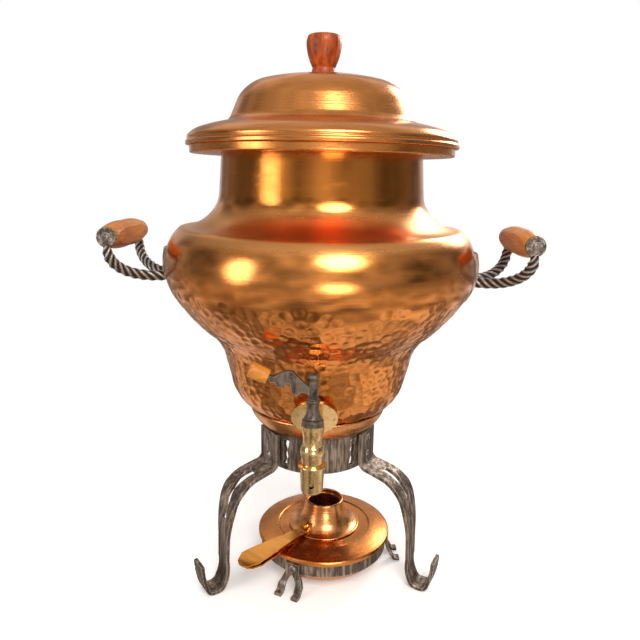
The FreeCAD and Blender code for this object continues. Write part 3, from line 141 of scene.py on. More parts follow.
LAMPS = [
    # name, place, aim, width, height, watts, colour
    ("key", (0.35, -1.10, 1.15), (0, 0, 0.26), 0.70, 0.70, 13.0, (1.0, 0.96, 0.90)),
    ("fill", (-1.10, -0.80, 0.55), (0, 0, 0.22), 0.50, 0.90, 5.0, (0.96, 0.97, 1.0)),
    ("rim", (0.75, 0.95, 0.85), (0, 0, 0.24), 0.60, 0.60, 8.0, (1.0, 0.97, 0.93)),
    ("low", (0.30, -1.30, 0.12), (0, 0, 0.10), 0.50, 0.25, 3.0, (1.0, 0.95, 0.88)),
]
for name, place, aim, width, height, watts, colour in LAMPS:
    lamp_data = bpy.data.lights.new(name, "AREA")
    lamp_data.shape = "ELLIPSE"
    lamp_data.size = width
    lamp_data.size_y = height
    lamp_data.energy = watts
    lamp_data.color = colour
    lamp = bpy.data.objects.new(name, lamp_data)
    bpy.context.scene.collection.objects.link(lamp)
    lamp.location = place
    lamp.rotation_euler = (Vector(aim) - Vector(place)).to_track_quat("-Z", "Y").to_euler()

FLOOR_HALF = 4.0
FLOOR_PAINT = (0.93, 0.925, 0.915)
FLOOR_GLOW = 0.22
floor_mesh = bpy.data.meshes.new("floor")
floor_mesh.from_pydata([(-FLOOR_HALF, -FLOOR_HALF, 0), (FLOOR_HALF, -FLOOR_HALF, 0),
                        (FLOOR_HALF, FLOOR_HALF, 0), (-FLOOR_HALF, FLOOR_HALF, 0)], [], [(0, 1, 2, 3)])
floor_top = bpy.data.materials.new("floor_top")
floor_top.use_nodes = True
paint = floor_top.node_tree
paint.nodes.clear()
seen = add(paint, "LightPath")
spot = add(paint, "TexCoord").outputs["Object"]
pale = add(paint, "BsdfDiffuse", {0: (*FLOOR_PAINT, 1)})
lift = add(paint, "Emission", {0: (*WHITE, 1), 1: FLOOR_GLOW})
lifted = add(paint, "AddShader", {0: pale.outputs[0], 1: lift.outputs[0]})
mottle = add(paint, "TexNoise", {0: spot, "Scale": 5.0, "Detail": 4.0, "Roughness": 0.6}).outputs[0]
table = ramp(paint, mottle, (0.4, 0.10, 0.085, 0.07), (0.5, 0.34, 0.31, 0.28), (0.6, 0.78, 0.74, 0.68))
matt = add(paint, "BsdfDiffuse", {0: table})
far = add(paint, "VectorMath", {0: spot}, operation="LENGTH").outputs["Value"]
fade = steps(paint, far, (0.2, 0.0), (0.75, 1.0))
white = add(paint, "Emission", {0: (*WHITE, 1), 1: 1.0})
faded = either(paint, fade, lifted, white)
chosen = either(paint, seen.outputs["Is Camera Ray"], matt, faded)
add(paint, "OutputMaterial", {0: chosen.outputs[0]})
floor_mesh.materials.append(floor_top)
floor = bpy.data.objects.new("floor", floor_mesh)
bpy.context.scene.collection.objects.link(floor)


# Vessel: one spun copper shell, thin at the neck and wide at the belly. It is polished above, and
# planished below the belly, where every hammer blow left a small hollow with a sharp border.
MM = 0.001
DEGREES_PER_FACET = 7
AROUND_VESSEL = 640


def outline_points(stations, step):
    """Points along a half outline. Each station is (radius, height, bend), and the edge to the next
    one is an arc that bends by that many degrees, or a straight line where it is 0. A point at
    share t of an arc lies at chord * sin(bend * t / 2) / sin(bend / 2) from its start, and in the
    direction of the chord turned by bend * (t - 1) / 2."""
    pieces = []
    for (x, z, bend), (next_x, next_z, _) in zip(stations, stations[1:]):
        chord = math.hypot(next_x - x, next_z - z)
        heading = math.atan2(next_z - z, next_x - x)
        count = max(1, math.ceil(chord / step), math.ceil(abs(bend) / DEGREES_PER_FACET))
        t = np.arange(count) / count
        half = math.radians(bend) / 2
        if bend:
            reach = chord * np.sin(half * t) / math.sin(half)
            turn = heading + half * (t - 1)
        else:
            reach = chord * t
            turn = heading + 0 * t
        pieces.append(np.stack([x + reach * np.cos(turn), z + reach * np.sin(turn)], 1))
    pieces.append(np.array([stations[-1][:2]], float))
    return np.concatenate(pieces)


def closed_outline(stations, step):
    """Points along an outline whose last station is its first again, each point once."""
    return outline_points(stations, step)[:-1]


def grid_piece(name, points, ring_rows, ring_columns, material, pole_rows=()):
    """A closed piece from a grid of points of shape (rows, columns, 3) in millimetres. Rows or
    columns that close on themselves are ring_rows or ring_columns. A row in pole_rows is one
    point."""
    rows, columns = points.shape[:2]
    index = np.arange(rows * columns).reshape(rows, columns)
    for row in pole_rows:
        index[row] = index[row, 0]
    if ring_rows:
        index = np.concatenate([index, index[:1]])
    if ring_columns:
        index = np.concatenate([index, index[:, :1]], 1)
    a, b, c, d = index[:-1, :-1], index[:-1, 1:], index[1:, 1:], index[1:, :-1]
    faces = np.stack([a, b, c, d], 2).reshape(-1, 4)
    used, faces = np.unique(faces, return_inverse=True)
    faces = faces.reshape(-1, 4)
    flat = points.reshape(-1, 3)[used] * MM
    first_same = faces[:, 0] == faces[:, 1]
    last_same = faces[:, 2] == faces[:, 3]
    whole = faces[~first_same & ~last_same].tolist()
    whole += faces[first_same & ~last_same][:, 1:].tolist()
    whole += faces[last_same & ~first_same][:, :3].tolist()
    mesh = bpy.data.meshes.new(name)
    mesh.from_pydata(flat.tolist(), [], whole)
    mesh.materials.append(material)
    mesh.shade_smooth()
    made = bpy.data.objects.new(name, mesh)
    bpy.context.scene.collection.objects.link(made)
    return made


def turned(name, outline, around, material, shift=(0, 0, 0)):
    """A piece turned about an upright axis: each outline point (r, z) goes round as
    (r cos a, r sin a, z). An outline that starts and ends on the axis has a pole at each end."""
    angle = np.arange(around) / around * 2 * np.pi
    radius, height = outline[:, :1], outline[:, 1:]
    points = np.stack([radius * np.cos(angle), radius * np.sin(angle), height + 0 * angle], 2)
    closed = radius[0, 0] > 0
    poles = () if closed else (0, len(outline) - 1)
    return grid_piece(name, points + np.array(shift), closed, True, material, poles)


def new_finish(name, colour, roughness, metallic=1.0):
    """A material with its shader, its node tree, and the point on the object that it colours."""
    material = bpy.data.materials.new(name)
    material.use_nodes = True
    tree = material.node_tree
    shader = tree.nodes["Principled BSDF"]
    shader.inputs["Base Color"].default_value = (*colour, 1)
    shader.inputs["Roughness"].default_value = roughness
    shader.inputs["Metallic"].default_value = metallic
    where = add(tree, "TexCoord").outputs["Object"]
    return material, tree, shader, where


def noise(tree, where, scale, detail=4.0, roughness=0.55, stretch=(1, 1, 1)):
    """Noise of a scale per metre, on a point that is stretched first."""
    place = add(tree, "Mapping", {0: where, "Scale": stretch}).outputs[0]
    grain = {0: place, "Scale": scale, "Detail": detail, "Roughness": roughness}
    return add(tree, "TexNoise", grain).outputs[0]


def wire(tree, shader, **sockets):
    """Links sockets of the shader, with _ in a name for a space."""
    for name, value in sockets.items():
        tree.links.new(value, shader.inputs[name.replace("_", " ")])


def bumped(tree, shader, height, distance):
    """A small relief under the shader: distance is how high it is, in metres."""
    relief = add(tree, "Bump", {"Height": height, "Distance": distance, "Strength": 1.0})
    tree.links.new(relief.outputs[0], shader.inputs["Normal"])


RUBBED_BRIGHTER = 1.08
BAND_EDGE = 0.005
BAND_SHARE = 0.75


def copper(name, light, dark, shine, spin_relief, patch_scale=14.0, painted_light_and_shade_bands=()):
    """Polished copper: slow patches of tarnish, fine rings from spinning, and a few rub marks. A band is
    (from, to, colour, added roughness): painted light or painted shade laid over the metal between two
    heights in metres."""
    material, tree, shader, where = new_finish(name, light, shine)
    patches = noise(tree, where, patch_scale, 5.0, 0.6)
    cloud = noise(tree, where, patch_scale * 6, 6.0, 0.7)
    worn = maths(tree, "ADD", maths(tree, "MULTIPLY", cloud, 0.35), maths(tree, "MULTIPLY", patches, 0.75))
    bright = [part * RUBBED_BRIGHTER for part in light]
    colour = ramp(tree, worn, (0.34, *dark), (0.52, *light), (0.72, *bright))
    rings = noise(tree, where, 60.0, 3.0, 0.6, (0.12, 0.12, 22.0))
    rubs = noise(tree, where, 34.0, 7.0, 0.75, (1.0, 1.0, 6.0))
    rough = maths(tree, "ADD", steps(tree, worn, (0.3, shine + 0.14), (0.6, shine)),
                  steps(tree, rubs, (0.48, 0.0), (0.7, 0.09)))
    # Each band paints its colour over the copper between two heights: painted light or painted shade.
    for low, high, painted_colour, duller in painted_light_and_shade_bands:
        height = add(tree, "SeparateXYZ", {0: where}).outputs["Z"]
        edges = (low - BAND_EDGE, 0.0), (low, 1.0), (high, 1.0), (high + BAND_EDGE, 0.0)
        band = steps(tree, height, *edges)
        colour = blended(tree, maths(tree, "MULTIPLY", band, BAND_SHARE), colour, (*painted_colour, 1))
        rough = maths(tree, "ADD", rough, maths(tree, "MULTIPLY", band, duller))
    wire(tree, shader, Base_Color=colour, Roughness=rough)
    bumped(tree, shader, maths(tree, "ADD", rings, maths(tree, "MULTIPLY", rubs, 0.4)), spin_relief)
    return material


BELLY_COPPER = (0.81, 0.305, 0.08)
BELLY_TARNISH = (0.55, 0.18, 0.038)
# The cove under the shoulder is painted lighter and more orange: painted light, for how brightly it is lit.
COVE_PAINTED_LIGHT_BAND = (0.290, 0.306, (0.84, 0.39, 0.13), 0.16)
# The neck under the brim is painted darker and browner: painted shade where the brim shades it.
NECK_PAINTED_SHADE_BAND = (0.317, 0.350, (0.46, 0.15, 0.022), 0.02)
vessel_finish = copper("vessel_copper_finish", BELLY_COPPER, BELLY_TARNISH, shine=0.13,
                       spin_relief=0.00005, painted_light_and_shade_bands=(COVE_PAINTED_LIGHT_BAND, NECK_PAINTED_SHADE_BAND))

SHELL_OUTSIDE = [(0, 143.8, 0), (54.9, 143.8, 90), (56.5, 145.4, 0), (56.5, 147.0, 0),
                 (57.974, 147.633, 44), (73.052, 172.047, 0), (78.3, 193.0, -40), (93.5, 214.0, 15),
                 (117.922, 243.374, 60), (118.299, 286.573, 18), (111.5, 294.5, -63), (82.3, 313.0, -19),
                 (80.4, 321.0, 0), (78.5, 349.5, 0), (78.5, 352.5, 0)]
SHELL_INSIDE = [(77.3, 352.5, 0), (77.301, 349.458, 0), (79.205, 320.895, 19), (81.212, 312.493, 63),
                (111.012, 293.404, -18), (117.255, 285.982, -60), (116.888, 243.983, -15),
                (92.761, 214.946, 40), (77.141, 193.311, 0), (71.877, 172.29, -44), (57.264, 148.6, 0),
                (55.318, 147.208, 0), (55.3, 145.4, -90), (54.9, 145.0, 0), (0, 145.0, 0)]
# Hammer blows: pitch, depth and seams in millimetres, strays in parts of a pitch. Each dish rises by
# HOLLOW times the square of the distance from its middle, and the top rows are only partly struck.
HAMMER_FROM = 149.0
HAMMER_TO = 254.0
BLOW_PITCH = 7.4
BLOW_DEPTH = 0.52
HOLLOW = 0.026
SPREAD_ROUND = 1.08
STRAY_ROUND = 0.3
STRAY_ALONG = 0.32
LIGHT_BLOW = 0.7
HEAVY_BLOW = 1.25
TOP_MARGIN = 6.0
TOP_ROWS_KEPT = (0.35, 0.7, 0.92)
BLOW_SEED = 7
FINE_STEP = 1.22
COARSE_STEP = 5.5
INSIDE_STEP = 9.0
HAMMER_SEAM = 1.0

coarse = outline_points(SHELL_OUTSIDE, COARSE_STEP)
fine = outline_points(SHELL_OUTSIDE, FINE_STEP)
low = coarse[coarse[:, 1] < HAMMER_FROM]
middle = fine[(fine[:, 1] >= HAMMER_FROM) & (fine[:, 1] <= HAMMER_TO)]
high = coarse[coarse[:, 1] > HAMMER_TO + HAMMER_SEAM]
outside = np.concatenate([low, middle, high])
inside = outline_points(SHELL_INSIDE, INSIDE_STEP)
shell_line = np.concatenate([outside, inside])


def planished(line, count_around):
    """How far each point of the outer wall is pushed in by hammer blows, in millimetres. The wall is
    unrolled to (distance round, distance along). Each blow is a round dish, HOLLOW * distance
    squared - depth, and the wall is the lowest of all dishes and of the plain wall."""
    random = np.random.default_rng(BLOW_SEED)
    run = np.concatenate([[0], np.cumsum(np.hypot(*np.diff(line, axis=0).T))])
    angle = np.arange(count_around) / count_around * 2 * np.pi
    begin = np.interp(HAMMER_FROM, line[:, 1], run)
    end = np.interp(HAMMER_TO - TOP_MARGIN, line[:, 1], run)
    blow_rows = int((end - begin) / BLOW_PITCH) + 1
    row_radius = np.interp(begin + np.arange(blow_rows) * BLOW_PITCH, run, line[:, 0])
    in_row = np.round(2 * np.pi * row_radius / (BLOW_PITCH * SPREAD_ROUND)).astype(int)
    most = in_row.max()
    phase = random.random(blow_rows)
    shift_round = random.uniform(-STRAY_ROUND, STRAY_ROUND, (blow_rows, most))
    shift_along = random.uniform(-STRAY_ALONG, STRAY_ALONG, (blow_rows, most))
    depth = BLOW_DEPTH * random.uniform(LIGHT_BLOW, HEAVY_BLOW, (blow_rows, most))
    for from_top, kept in enumerate(TOP_ROWS_KEPT, 1):
        depth[-from_top] *= random.random(most) < kept
    along = (run - begin)[:, None] + 0 * angle
    around = angle + 0 * along
    nearest = np.round(along / BLOW_PITCH).astype(int)
    lowest = np.zeros_like(along)
    for step_along in (-1, 0, 1):
        row = nearest + step_along
        real = (row >= 0) & (row < blow_rows)
        row = np.clip(row, 0, blow_rows - 1)
        share = around / (2 * np.pi) * in_row[row] - phase[row]
        for step_round in (-1, 0, 1):
            column = np.floor(share).astype(int) + step_round
            blow = column % in_row[row]
            centre = (column + 0.5 + phase[row] + shift_round[row, blow]) / in_row[row] * 2 * np.pi
            across = (around - centre) * line[:, :1]
            up = along - (row + shift_along[row, blow]) * BLOW_PITCH
            dish = HOLLOW * (across ** 2 + up ** 2) - depth[row, blow]
            lowest = np.where(real & (depth[row, blow] > 0), np.minimum(lowest, dish), lowest)
    return lowest


pushed = planished(outside, AROUND_VESSEL)
slope = np.gradient(outside, axis=0)
normal = np.stack([slope[:, 1], -slope[:, 0]], 1)
normal /= np.linalg.norm(normal, axis=1, keepdims=True)
angle = np.arange(AROUND_VESSEL) / AROUND_VESSEL * 2 * np.pi
radius = np.concatenate([outside[:, :1] + pushed * normal[:, :1], inside[:, :1] + 0 * angle])
height = np.concatenate([outside[:, 1:] + pushed * normal[:, 1:], inside[:, 1:] + 0 * angle])
shell_points = np.stack([radius * np.cos(angle), radius * np.sin(angle), height], 2)
vessel = grid_piece("vessel_copper", shell_points, False, True, vessel_finish, (0, len(shell_line) - 1))
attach(vessel, "vessel")
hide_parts("vessel_shell")

# Foot collar: a smooth band of brighter copper, soldered to the vessel's foot and set in the iron
# ring. Brim: a flat copper flange with an upturned edge, which the lid's lip rests on.
COLLAR_COPPER = (0.78, 0.36, 0.13)
COLLAR_TARNISH = (0.5, 0.19, 0.06)
AROUND_RING = 256
collar_finish = copper("collar_copper_finish", COLLAR_COPPER, COLLAR_TARNISH, shine=0.24,
                       spin_relief=0.00008, patch_scale=40.0)
COLLAR = [(46.0, 130.0, 50), (57.7, 146.6, 0), (56.5, 146.6, 0), (56.5, 144.4, -42), (46.0, 131.2, 0),
          (40.4, 131.2, 0), (40.4, 124.0, 0), (41.6, 124.0, 0), (41.6, 130.0, 0), (46.0, 130.0, 0)]
collar = turned("foot_collar", closed_outline(COLLAR, step=1.6), AROUND_RING, collar_finish)
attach(collar, "vessel")
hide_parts("vessel_collar")

brim_finish = copper("brim_copper_finish", BELLY_COPPER, BELLY_TARNISH, shine=0.2, spin_relief=0.00005)
BRIM = [(78.5, 350.0, 0), (101.1, 350.0, 90), (102.3, 351.2, 0), (102.3, 355.3, 60), (101.9, 355.9, 0),
        (100.7, 355.9, 0), (100.7, 351.3, 0), (78.5, 351.3, 0), (78.5, 350.0, 0)]
brim = turned("neck_brim", closed_outline(BRIM, step=1.5), AROUND_RING, brim_finish)
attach(brim, "vessel")
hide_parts("vessel_brim")

# Lid: spun copper with a rolled bead at its edge, a sloping flange and a stepped dome. It is the
# most handled surface, so its polish is softer, and it has wipe marks that run round it.
LID_COPPER = (0.82, 0.315, 0.09)
LID_TARNISH = (0.56, 0.185, 0.042)
AROUND_LID = 320
lid_finish = copper("lid_copper_finish", LID_COPPER, LID_TARNISH, shine=0.2, spin_relief=0.00007,
                    patch_scale=11.0)
LID = [(100.7, 355.9, 0), (104.6, 355.9, 90), (105.2, 356.5, 0), (105.2, 358.3, 40), (104.0, 359.5, -60),
       (103.9, 360.2, 56), (103.2, 363.4, 25), (96.0, 368.2, 12), (77.0, 373.0, -58), (70.5, 379.0, 0),
       (65.7, 390.2, 41), (51.0, 403.4, 14.42), (2.0, 409.6, 0), (2.0, 408.4, -14.42),
       (50.59, 402.272, -41), (64.612, 389.693, 0), (69.395, 378.531, 58), (76.833, 371.812, -12),
       (95.59, 367.072, -25), (102.337, 362.566, -56), (102.726, 360.449, 0), (100.7, 358.3, 0),
       (100.7, 355.9, 0)]
lid = turned("lid_copper", closed_outline(LID, step=1.4), AROUND_LID, lid_finish)
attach(lid, "lid")
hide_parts("lid_shell")

# Lid knob: turned reddish hardwood with dark streaks, shaped like a tulip and nearly flat on top. A
# screw through the crown of the lid holds it.
def wood(name, light, dark, shine, along, fine=1.0):
    """Lacquered wood: streaks drawn out along the grain (a stretch per axis), dark pores, and a
    clear coat."""
    material, tree, shader, where = new_finish(name, light, roughness=shine, metallic=0.0)
    slow = noise(tree, where, 70.0 * fine, 4.0, 0.6, along)
    pores = noise(tree, where, 420.0 * fine, 3.0, 0.7, along)
    mixed = maths(tree, "ADD", maths(tree, "MULTIPLY", slow, 0.7), maths(tree, "MULTIPLY", pores, 0.32))
    middle = [(a + b) / 2 for a, b in zip(light, dark)]
    colour = ramp(tree, mixed, (0.36, *dark), (0.5, *middle), (0.64, *light))
    wire(tree, shader, Base_Color=colour, Roughness=steps(tree, pores, (0.4, shine + 0.12), (0.6, shine)))
    shader.inputs["Specular IOR Level"].default_value = 0.3
    shader.inputs["Coat Weight"].default_value = 0.1
    shader.inputs["Coat Roughness"].default_value = 0.16
    bumped(tree, shader, mixed, 0.00025)
    return material


KNOB_FOOT = 409.65
KNOB_WOOD = (0.56, 0.105, 0.012)
KNOB_STREAK = (0.075, 0.010, 0.003)
UPRIGHT_GRAIN = (1.0, 1.0, 0.12)
AROUND_KNOB = 128
knob_finish = wood("knob_finish", KNOB_WOOD, KNOB_STREAK, shine=0.34, along=UPRIGHT_GRAIN, fine=2.6)
KNOB = [(2.0, 0, 0), (9.2, 0, 60), (9.8, 0.8, -14), (8.6, 5.0, 26), (13.5, 22.5, 22), (12.3, 27.4, 62),
        (10.5, 28.3, 7.63), (0, 29.0, 0)]
knob_line = np.concatenate([[[0, 0]], outline_points(KNOB, step=0.8)])
knob = turned("lid_knob_wood", knob_line, AROUND_KNOB, knob_finish, (0, 0, KNOB_FOOT))
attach(knob, "lid")
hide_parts("lid_knob")

# Wrought iron: forged strap with a bark-like grain drawn along it, blackened and waxed, and rubbed
# bright on its ridges and edges. The stand, the handle plates and the burner's band are of it.
IRON_PLAIN = (0.2, 0.165, 0.14)
IRON_LIGHT = (0.42, 0.32, 0.25)
IRON_MIDDLE = (0.125, 0.092, 0.07)
IRON_DARK = (0.03, 0.021, 0.015)
IRON_RUBBED = (0.62, 0.51, 0.43)


def iron(name, grain, relief=0.0005, light=IRON_LIGHT, dark=IRON_DARK, edge=0.0011):
    """Blackened iron: grain is the stretch of the noise, and edges that a small bevel would round
    are lighter."""
    material, tree, shader, where = new_finish(name, IRON_PLAIN, roughness=0.5, metallic=0.55)
    lines = noise(tree, where, 430.0, 5.0, 0.65, grain)
    wide = noise(tree, where, 120.0, 3.0, 0.6, grain)
    pits = noise(tree, where, 900.0, 2.0, 0.5)
    height = maths(tree, "ADD", maths(tree, "MULTIPLY", lines, 0.7), maths(tree, "MULTIPLY", wide, 0.45))
    body = ramp(tree, height, (0.42, *dark), (0.56, *IRON_MIDDLE), (0.7, *light))
    flat_normal = add(tree, "NewGeometry").outputs["Normal"]
    round_normal = add(tree, "Bevel", {"Radius": edge}, samples=4).outputs[0]
    normals = {0: flat_normal, 1: round_normal}
    facing = add(tree, "VectorMath", normals, operation="DOT_PRODUCT").outputs["Value"]
    worn = steps(tree, facing, (0.86, 1.0), (0.985, 0.0))
    broken = maths(tree, "MULTIPLY", worn, steps(tree, pits, (0.38, 0.25), (0.55, 1.0)))
    colour = blended(tree, broken, body, (*IRON_RUBBED, 1))
    wire(tree, shader, Base_Color=colour, Roughness=steps(tree, height, (0.4, 0.62), (0.7, 0.36)))
    bumped(tree, shader, maths(tree, "ADD", height, maths(tree, "MULTIPLY", pits, 0.12)), relief)
    return material


def dress(material, *names):
    """Gives CAD nodes a finish."""
    for name in names:
        node = nodes[name]
        node.data.materials.clear()
        node.data.materials.append(material)


FIXING_LIGHT = (0.42, 0.37, 0.34)
standing_iron = iron("standing_iron", grain=(1.0, 1.0, 0.13))
bright_iron = iron("fixing_iron", grain=(1.0, 1.0, 1.0), relief=0.0002, light=FIXING_LIGHT)
dress(standing_iron, "stand_ring", "stand_leg_front_left", "stand_leg_front_right", "stand_leg_rear",
      "handle_plate_left", "handle_plate_right", "burner_ring", "burner_foot_front",
      "burner_foot_right", "burner_foot_rear")
dress(bright_iron, "stand_rivets", "burner_rivets", "handle_rivets_left", "handle_rivets_right",
      "handle_rod_left", "handle_rod_right", "lid_knob_washer", "lid_knob_screw")

# Handle arms: square iron bar, twisted cold so that its corners wind round it, forged into a disc
# at the end. A rod through both discs holds the grip.
TWIST_TURNS = 2.4
BAR_SIZE = 7.0
BAR_SQUARENESS = 5
BAR_STATIONS = 170
BAR_SIDES = 40
FORGED_FROM = 0.86
FORGED_THINNER = 0.35
EYE_MIDDLE = (160.8, 38.5, 286.5)
ARM_POINTS = np.array([(124.7, 9, 254), (145, 16, 252.5), (163, 38.5, 261), (160.8, 38.5, 280.3)])


def twisted_points(corners):
    """A square bar along a Bezier curve: at share t the centre is the cubic blend of its four
    points, and the section, a square with rounded corners |x|^5 + |y|^5 = 1, is turned about the
    curve in proportion to t. Also gives how near each point is to a corner, from 0 to 1."""
    t = np.linspace(0, 1, BAR_STATIONS)[:, None]
    weights = np.stack([(1 - t) ** 3, 3 * t * (1 - t) ** 2, 3 * t ** 2 * (1 - t), t ** 3], 2)[:, 0]
    centre = weights @ corners
    along = np.gradient(centre, axis=0)
    along /= np.linalg.norm(along, axis=1, keepdims=True)
    side = np.cross(along, [0, 1, 0])
    side /= np.linalg.norm(side, axis=1, keepdims=True)
    other = np.cross(along, side)
    around = np.arange(BAR_SIDES) / BAR_SIDES * 2 * np.pi
    powers = np.abs(np.cos(around)) ** BAR_SQUARENESS + np.abs(np.sin(around)) ** BAR_SQUARENESS
    square = powers ** (-1 / BAR_SQUARENESS)
    turn = around + 2 * np.pi * TWIST_TURNS * t
    thin = 1 - FORGED_THINNER * np.clip((t - FORGED_FROM) / (1 - FORGED_FROM), 0, 1)
    reach = BAR_SIZE / 2 * square * thin
    sideways = (reach * np.cos(turn))[:, :, None] * side[:, None]
    upwards = (reach * np.sin(turn))[:, :, None] * other[:, None]
    rings = centre[:, None] + sideways + upwards
    first, last = [np.repeat(centre[place][None, None], BAR_SIDES, 1) for place in (0, -1)]
    corner = (square - 1) / (square.max() - 1) + 0 * t
    flat = 0 * corner[:1]
    return np.concatenate([first, rings, last]), np.concatenate([flat, corner, flat])


BAR_PLAIN = (0.2, 0.17, 0.15)
# Corners of the bar are painted bright as wear and painted highlight; the grooves nearly black as painted
# shade.
GROOVE_BLACK_AND_PAINTED_SHADE = (0.02, 0.016, 0.013)
BAR_GREY = (0.095, 0.078, 0.066)
CORNER_WEAR_AND_PAINTED_HIGHLIGHT = (0.44, 0.39, 0.35)


def arm_iron():
    """Iron of the arms: its corners painted bright, as rubbed metal and as painted highlight, and nearly
    black between them, as blackened iron with painted shade in the grooves.
    """
    material, tree, shader, where = new_finish("arm_iron", BAR_PLAIN, roughness=0.42, metallic=0.6)
    corner = add(tree, "Attribute", attribute_name="corner").outputs["Fac"]
    grit = noise(tree, where, 700.0, 4.0, 0.65)
    mixed = maths(tree, "ADD", corner, maths(tree, "MULTIPLY", grit, 0.5))
    colour = ramp(tree, mixed, (0.2, *GROOVE_BLACK_AND_PAINTED_SHADE), (0.62, *BAR_GREY), (1.0, *CORNER_WEAR_AND_PAINTED_HIGHLIGHT))
    wire(tree, shader, Base_Color=colour, Roughness=steps(tree, mixed, (0.3, 0.6), (1.0, 0.3)))
    bumped(tree, shader, grit, 0.0003)
    return material


def set_attribute(piece, name, values):
    """Gives each point of a piece a value, which its material reads by name."""
    layer = piece.data.attributes.new(name, "FLOAT", "POINT")
    layer.data.foreach_set("value", np.ascontiguousarray(values, np.float32).ravel())


def lying(line, around):
    """Points of an outline (radius, place along Y) turned about the Y axis."""
    angle = np.arange(around) / around * 2 * np.pi
    radius = line[:, :1]
    return np.stack([radius * np.sin(angle), line[:, 1:] + 0 * angle, radius * np.cos(angle)], 2)


DISC = [(2.5, -1.5, 0), (3.6, -1.5, 0), (4.0, -1.25, 0), (4.4, -1.5, 0), (5.4, -1.5, 0), (5.8, -1.2, 0),
        (6.2, -1.5, 0), (7.0, -1.5, 60), (7.7, -0.9, 0), (7.7, 0.9, 60), (7.0, 1.5, 0), (6.2, 1.5, 0),
        (5.8, 1.2, 0), (5.4, 1.5, 0), (4.4, 1.5, 0), (4.0, 1.25, 0), (3.6, 1.5, 0), (2.5, 1.5, 0),
        (2.5, -1.5, 0)]
AROUND_DISC = 72
arm_finish = arm_iron()
SIDES = (("right", np.array([1, 1, 1])), ("left", np.array([-1, -1, 1])))
for side, spin in SIDES:
    for mirror in (-1, 1):
        end = "front" if mirror * spin[1] < 0 else "rear"
        flip = np.array([1, mirror, 1])
        points, corner = twisted_points(ARM_POINTS * flip)
        arm = grid_piece("twisted_arm_%s_%s" % (side, end), points * spin, False, True, arm_finish,
                         (0, len(points) - 1))
        kept = np.ones(points.shape[:2], bool)
        kept[0, 1:] = kept[-1, 1:] = False
        set_attribute(arm, "corner", corner[kept])
        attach(arm, "vessel")
        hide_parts("handle_arm_%s_%s" % (side, end))
        line = closed_outline(DISC, step=0.7)
        disc_points = lying(line, AROUND_DISC) + np.array(EYE_MIDDLE) * flip
        disc = grid_piece("arm_disc_%s_%s" % (side, end), disc_points * spin, True, True, bright_iron)
        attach(disc, "vessel")

# Grips: turned hardwood barrels with one side planed flat towards the vessel, stained orange and
# lacquered, with darker streaks along the grain.
GRIP = [(2.5, -37.0, 0), (7.4, -37.0, 60), (8.2, -36.2, 16), (10.4, 0, 16), (8.2, 36.2, 60), (7.4, 37.0, 0),
        (2.5, 37.0, 0), (2.5, -37.0, 0)]
GRIP_FLAT = 8.5
AROUND_GRIP = 112
GRIP_WOOD = (0.70, 0.25, 0.028)
GRIP_STREAK = (0.30, 0.08, 0.008)
grip_finish = wood("grip_finish", GRIP_WOOD, GRIP_STREAK, shine=0.36, along=(1.0, 0.12, 1.0))
for side, spin in SIDES:
    barrel = lying(closed_outline(GRIP, step=0.9), AROUND_GRIP)
    barrel[:, :, 0] = np.maximum(barrel[:, :, 0], -GRIP_FLAT)
    barrel += np.array([EYE_MIDDLE[0], 0, EYE_MIDDLE[2]])
    grip = grid_piece("wooden_grip_" + side, barrel * spin, True, True, grip_finish)
    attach(grip, "vessel")
    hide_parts("handle_grip_" + side)

# Tap: cast brass body, flange and plug, gone dull and spotted; a blackened iron key on top, with a
# forged twig for its lever and a small wooden grip.
BRASS_PLAIN = (0.76, 0.5, 0.2)
BRASS_SPOT = (0.2, 0.11, 0.04)
BRASS_DULL = (0.62, 0.40, 0.16)
BRASS_BRIGHT = (0.88, 0.61, 0.29)


def aged_brass():
    """Old brass: warm metal with brown spots, darker in clouds, and a soft cast grain."""
    material, tree, shader, where = new_finish("aged_brass_finish", BRASS_PLAIN, 0.3)
    cloud = noise(tree, where, 110.0, 5.0, 0.65)
    spots = noise(tree, where, 520.0, 3.0, 0.6)
    mixed = maths(tree, "ADD", maths(tree, "MULTIPLY", cloud, 0.6), maths(tree, "MULTIPLY", spots, 0.42))
    colour = ramp(tree, mixed, (0.26, *BRASS_SPOT), (0.38, *BRASS_DULL), (0.5, *BRASS_BRIGHT))
    wire(tree, shader, Base_Color=colour, Roughness=steps(tree, mixed, (0.36, 0.38), (0.5, 0.17)))
    bumped(tree, shader, spots, 0.00012)
    return material


FIBRE_BROWN = (0.1, 0.03, 0.02)
FIBRE_DARK = (0.05, 0.015, 0.01)
FIBRE_LIGHT = (0.17, 0.05, 0.03)


def pressed_fibre():
    """Reddish brown gasket fibre, matt, with a fine mottle."""
    material, tree, shader, where = new_finish("gasket_finish", FIBRE_BROWN, roughness=0.8, metallic=0.0)
    fibres = noise(tree, where, 900.0)
    wire(tree, shader, Base_Color=ramp(tree, fibres, (0.3, *FIBRE_DARK), (0.7, *FIBRE_LIGHT)))
    return material


KEY_LIGHT = (0.19, 0.15, 0.12)
KEY_DARK = (0.012, 0.009, 0.007)
LEVER_WOOD = (0.76, 0.30, 0.04)
LEVER_STREAK = (0.40, 0.11, 0.012)
key_iron = iron("key_iron", grain=(1.0, 1.0, 0.5), relief=0.0004, light=KEY_LIGHT, dark=KEY_DARK, edge=0.0006)
lever_wood = wood("lever_grip_finish", LEVER_WOOD, LEVER_STREAK, shine=0.36, along=(0.15, 1.0, 1.0), fine=2.0)
dress(aged_brass(), "tap_body", "tap_flange", "tap_plug", "tap_backnut")
dress(key_iron, "tap_lever", "tap_column", "tap_cap", "tap_gland_nut")
dress(lever_wood, "tap_lever_grip")
dress(pressed_fibre(), "tap_gasket")

